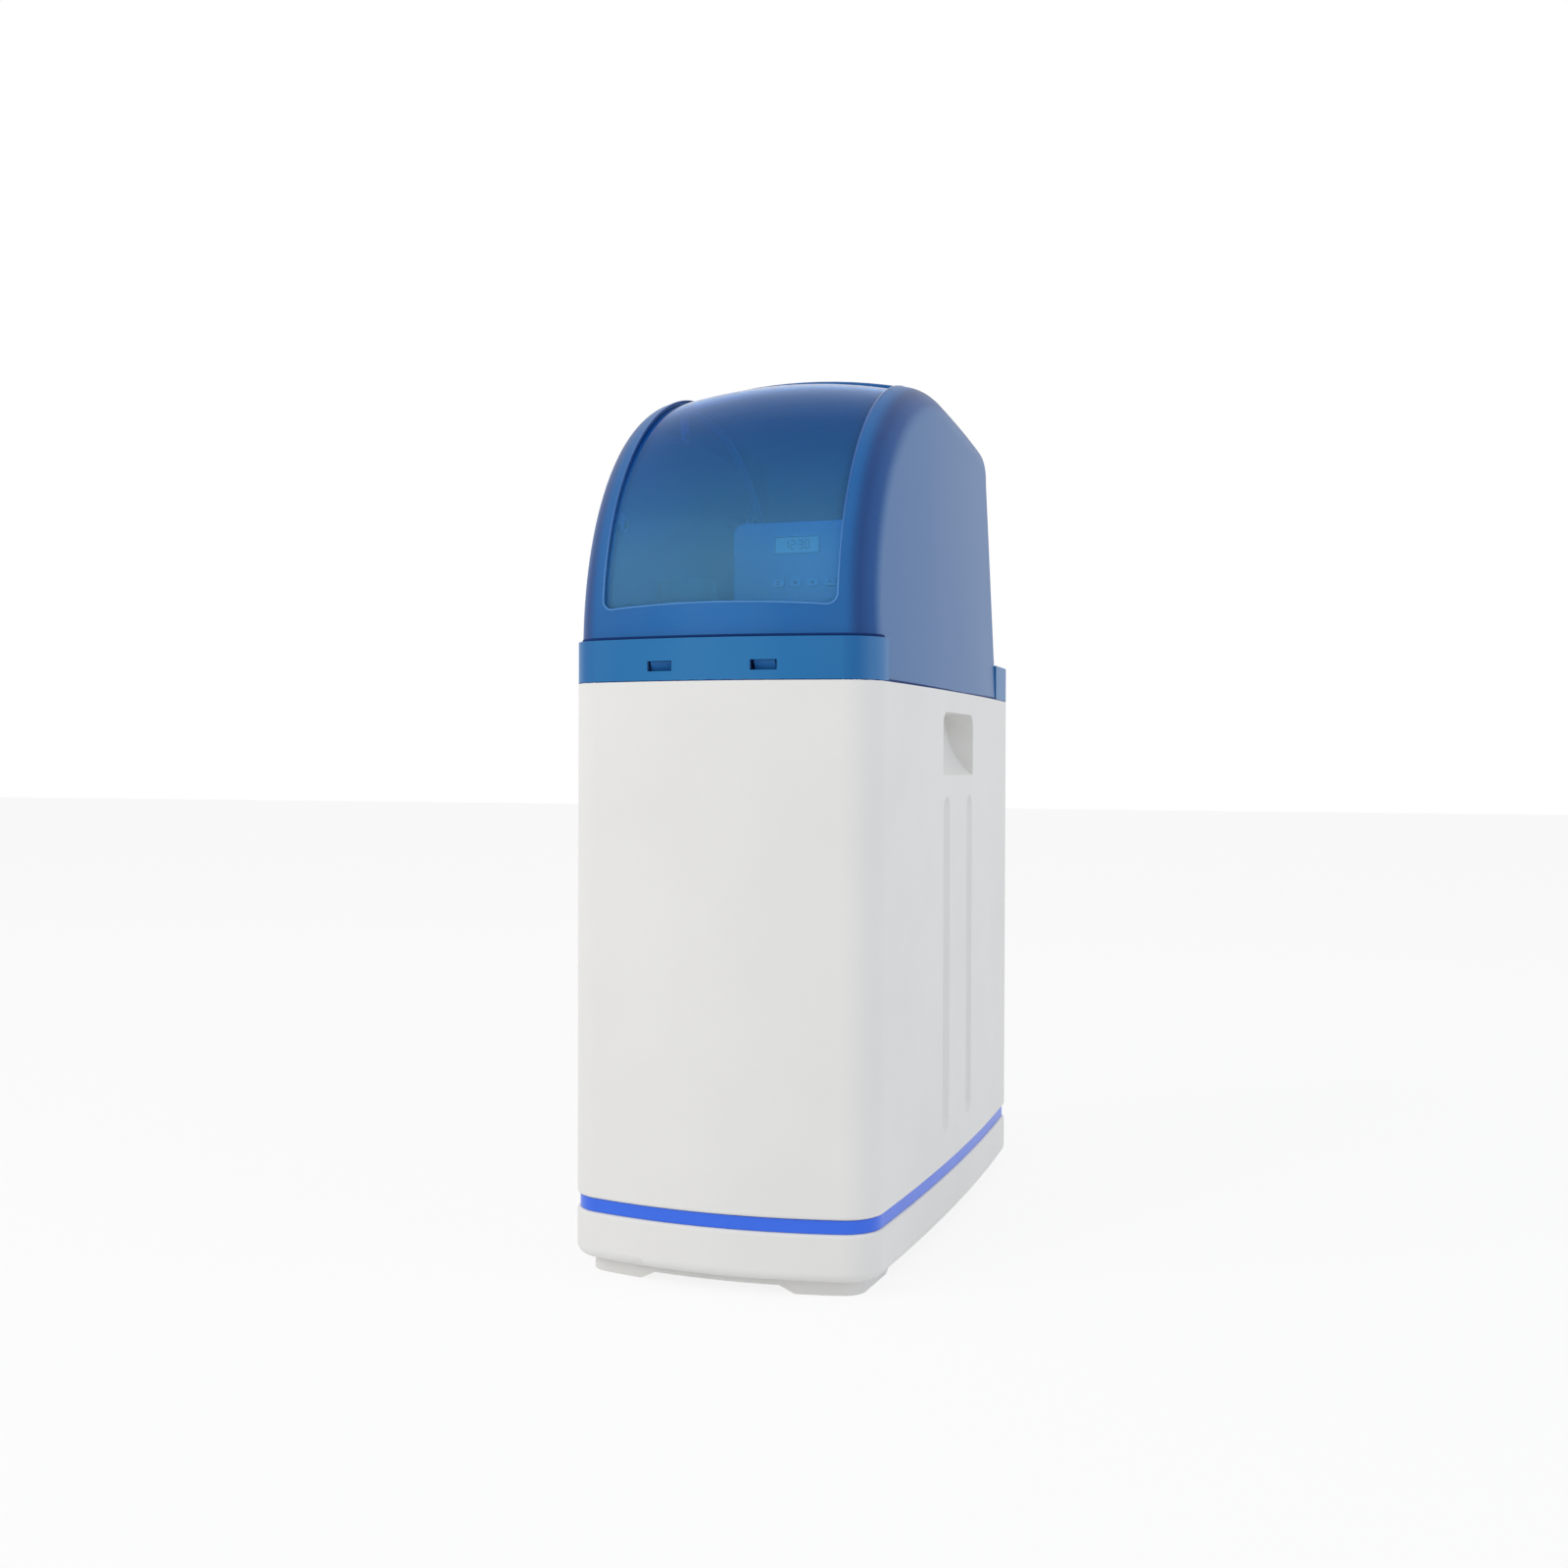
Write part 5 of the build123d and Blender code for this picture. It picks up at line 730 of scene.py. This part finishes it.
# printed marks of the keys: three bars, a dot and two arrows
def buildKeyMarks(shape):
    size = shape["size"]
    for node, body in keyBodies.items():
        low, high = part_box(node)
        x = (low.x + high.x) / 2
        z = (low.z + high.z) / 2
        if node == "menu_button":
            rows = [z + row * shape["barPitch"] for row in (-1, 0, 1)]
            outlines = [barOutline(x, rowZ, 2 * size, shape["bar"], True) for rowZ in rows]
        elif node == "confirm_button":
            outlines = [polygonOutline(x, z, shape["dot"], shape["dotCorners"], 0)]
        else:
            outlines = [polygonOutline(x, z, size, 3, 90 if node == "up_button" else 270)]
        mark = node.replace("_button", "Mark")
        addPlates(mark, outlines, low.y, shape["lift"], plastics["slatePrint"], body)


buildKeyMarks(markShape)
print("display and keys built")

# thread of the two ports; a bypass tube's outer radius finds their axes
threadShape = {"tubeRadius": 19 * mm, "pitch": 1.814 * mm, "turns": 10, "root": 13.0 * mm,
               "crest": 13.55 * mm, "flank": 0.72 * mm, "land": 0.16 * mm, "end": 251.0 * mm,
               "stepsPerTurn": 56}


# pipe thread: a four-cornered ridge carried round a helix, fading at both ends
def buildThreads(shape):
    low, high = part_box("bypass_body")
    port = next(mount for mount in frame["record"]["mounts"] if mount["name"] == "inlet_port")
    portX = (high.x - low.x) / 2 - shape["tubeRadius"]
    portZ = port["pos_m"][2]
    turn = np.linspace(0, 2 * np.pi * shape["turns"], shape["turns"] * shape["stepsPerTurn"])
    along = shape["end"] - shape["pitch"] * shape["turns"] + shape["pitch"] * turn / (2 * np.pi)
    fade = np.clip(np.minimum(turn, turn[-1] - turn) / np.pi, 0, 1)
    offset = np.array([-shape["flank"], -shape["land"], shape["land"], shape["flank"]])
    ridge = (shape["crest"] - shape["root"]) * fade
    height = np.array([0, 1, 1, 0])[None, :] * ridge[:, None] + shape["root"]
    for side, name in ((-1, "inletThread"), (1, "outletThread")):
        x = side * portX + height * np.cos(turn)[:, None]
        z = portZ + height * np.sin(turn)[:, None]
        y = along[:, None] + offset[None, :]
        addSweep(name, np.stack([x, y, z], -1), plastics["filledNylonBlack"], "cabinet")


buildThreads(threadShape)
print("threads built")

# floor, light and air of a plain pale studio
studio = {
    "floorHalf": 14.0,
    "floorTone": "#F4F4F4",
    "floorLift": 0.86,  # share of plain white in what the eye sees of the floor
    "worldDiffuse": 0.62,  # strength of the white air where it falls on things
    # each lamp: watts, place, size and tone
    "lamps": {
        "keyLight": (46.0, (-1.9, -2.6, 2.3), 2.2, "#FFFFFF"),
        "sideLight": (14.0, (2.6, -0.5, 1.5), 2.0, "#DCE8FF"),
    },
    "lampAim": (0.0, 0.0, 0.40),
}


# 1 for what the camera sees straight, in a gloss or through glass, 0 for light that falls on things
def seenShare(tree):
    rays = addNode(tree, "ShaderNodeLightPath").outputs
    direct = addNode(tree, "ShaderNodeMath", {
        0: rays["Is Camera Ray"], 1: rays["Is Glossy Ray"],
    }, operation="MAXIMUM")
    seen = addNode(tree, "ShaderNodeMath", {
        0: direct.outputs[0], 1: rays["Is Transmission Ray"],
    }, operation="MAXIMUM")
    return seen.outputs[0]


# floor: one square, matte under light and nearly white to the eye, so that it keeps the shadow
def buildFloor(look):
    half = look["floorHalf"]
    mesh = bpy.data.meshes.new("floor")
    corners = [(-half, -half, 0), (half, -half, 0), (half, half, 0), (-half, half, 0)]
    mesh.from_pydata(corners, [], [[0, 1, 2, 3]])
    floor = bpy.data.objects.new("floor", mesh)
    bpy.context.scene.collection.objects.link(floor)
    material, tree = newMaterial("paleFloor")
    matte = addNode(tree, "ShaderNodeBsdfDiffuse", {"Color": linearColour(look["floorTone"])})
    glow = addNode(tree, "ShaderNodeEmission", {"Color": (1, 1, 1, 1), "Strength": 1.0})
    lift = addNode(tree, "ShaderNodeMath", {0: seenShare(tree), 1: look["floorLift"]}, operation="MULTIPLY")
    mixed = addNode(tree, "ShaderNodeMixShader", {
        "Fac": lift.outputs[0], 1: matte.outputs["BSDF"], 2: glow.outputs["Emission"],
    })
    addNode(tree, "ShaderNodeOutputMaterial", {"Surface": mixed.outputs["Shader"]})
    mesh.materials.append(material)


# world: white at strength 1 to the eye, dimmer where it lights things
def buildWorld(look):
    world = bpy.data.worlds.new("studioWorld")
    bpy.context.scene.world = world
    world.use_nodes = True
    tree = world.node_tree
    tree.nodes.clear()
    strength = addNode(tree, "ShaderNodeMapRange", {
        "Value": seenShare(tree), "To Min": look["worldDiffuse"], "To Max": 1.0,
    })
    air = addNode(tree, "ShaderNodeBackground", {
        "Color": (1, 1, 1, 1), "Strength": strength.outputs["Result"],
    })
    addNode(tree, "ShaderNodeOutputWorld", {"Surface": air.outputs["Background"]})


# soft square lamps, turned towards the softener and left out of its gloss
def buildLamps(look):
    for name, (watts, place, size, tone) in look["lamps"].items():
        lamp = bpy.data.lights.new(name, "AREA")
        lamp.energy = watts
        lamp.size = size
        lamp.color = linearColour(tone)[:3]
        light = bpy.data.objects.new(name, lamp)
        bpy.context.scene.collection.objects.link(light)
        light.location = place
        light.rotation_euler = (Vector(look["lampAim"]) - Vector(place)).to_track_quat("-Z", "Y").to_euler()
        light.visible_glossy = False


# the camera of the photograph, in the softener's own frame
cameraSetup = {
    "place": (0.4650, -1.4497, 0.3929),
    "yawDegrees": 18.788,
    "pitchDegrees": -0.648,
    "rollDegrees": 0.185,
    "focalPixels": 1764.68,
    "framePixels": 1600,
    "sensorWidth": 36.0,
    "sight": 100.0,
}


# camera: looking direction from yaw and pitch, then rolled about it
def buildCamera(setup):
    yaw, pitch, roll = (math.radians(setup[name]) for name in ("yawDegrees", "pitchDegrees", "rollDegrees"))
    forward = Vector((-math.sin(yaw) * math.cos(pitch), math.cos(yaw) * math.cos(pitch), math.sin(pitch)))
    right = Vector((math.cos(yaw), math.sin(yaw), 0))
    up = right.cross(forward)
    rolledRight = right * math.cos(roll) + up * math.sin(roll)
    rolledUp = up * math.cos(roll) - right * math.sin(roll)
    camera = bpy.data.cameras.new("photoCamera")
    camera.sensor_width = setup["sensorWidth"]
    camera.lens = setup["focalPixels"] / setup["framePixels"] * setup["sensorWidth"]
    camera.clip_end = setup["sight"]
    viewer = bpy.data.objects.new("photoCamera", camera)
    bpy.context.scene.collection.objects.link(viewer)
    turn = Matrix((rolledRight, rolledUp, -forward)).transposed().to_4x4()
    viewer.matrix_world = Matrix.Translation(setup["place"]) @ turn
    bpy.context.scene.camera = viewer


buildFloor(studio)
buildWorld(studio)
buildLamps(studio)
buildCamera(cameraSetup)
bpy.context.scene.view_settings.view_transform = "Standard"
print("studio ready")
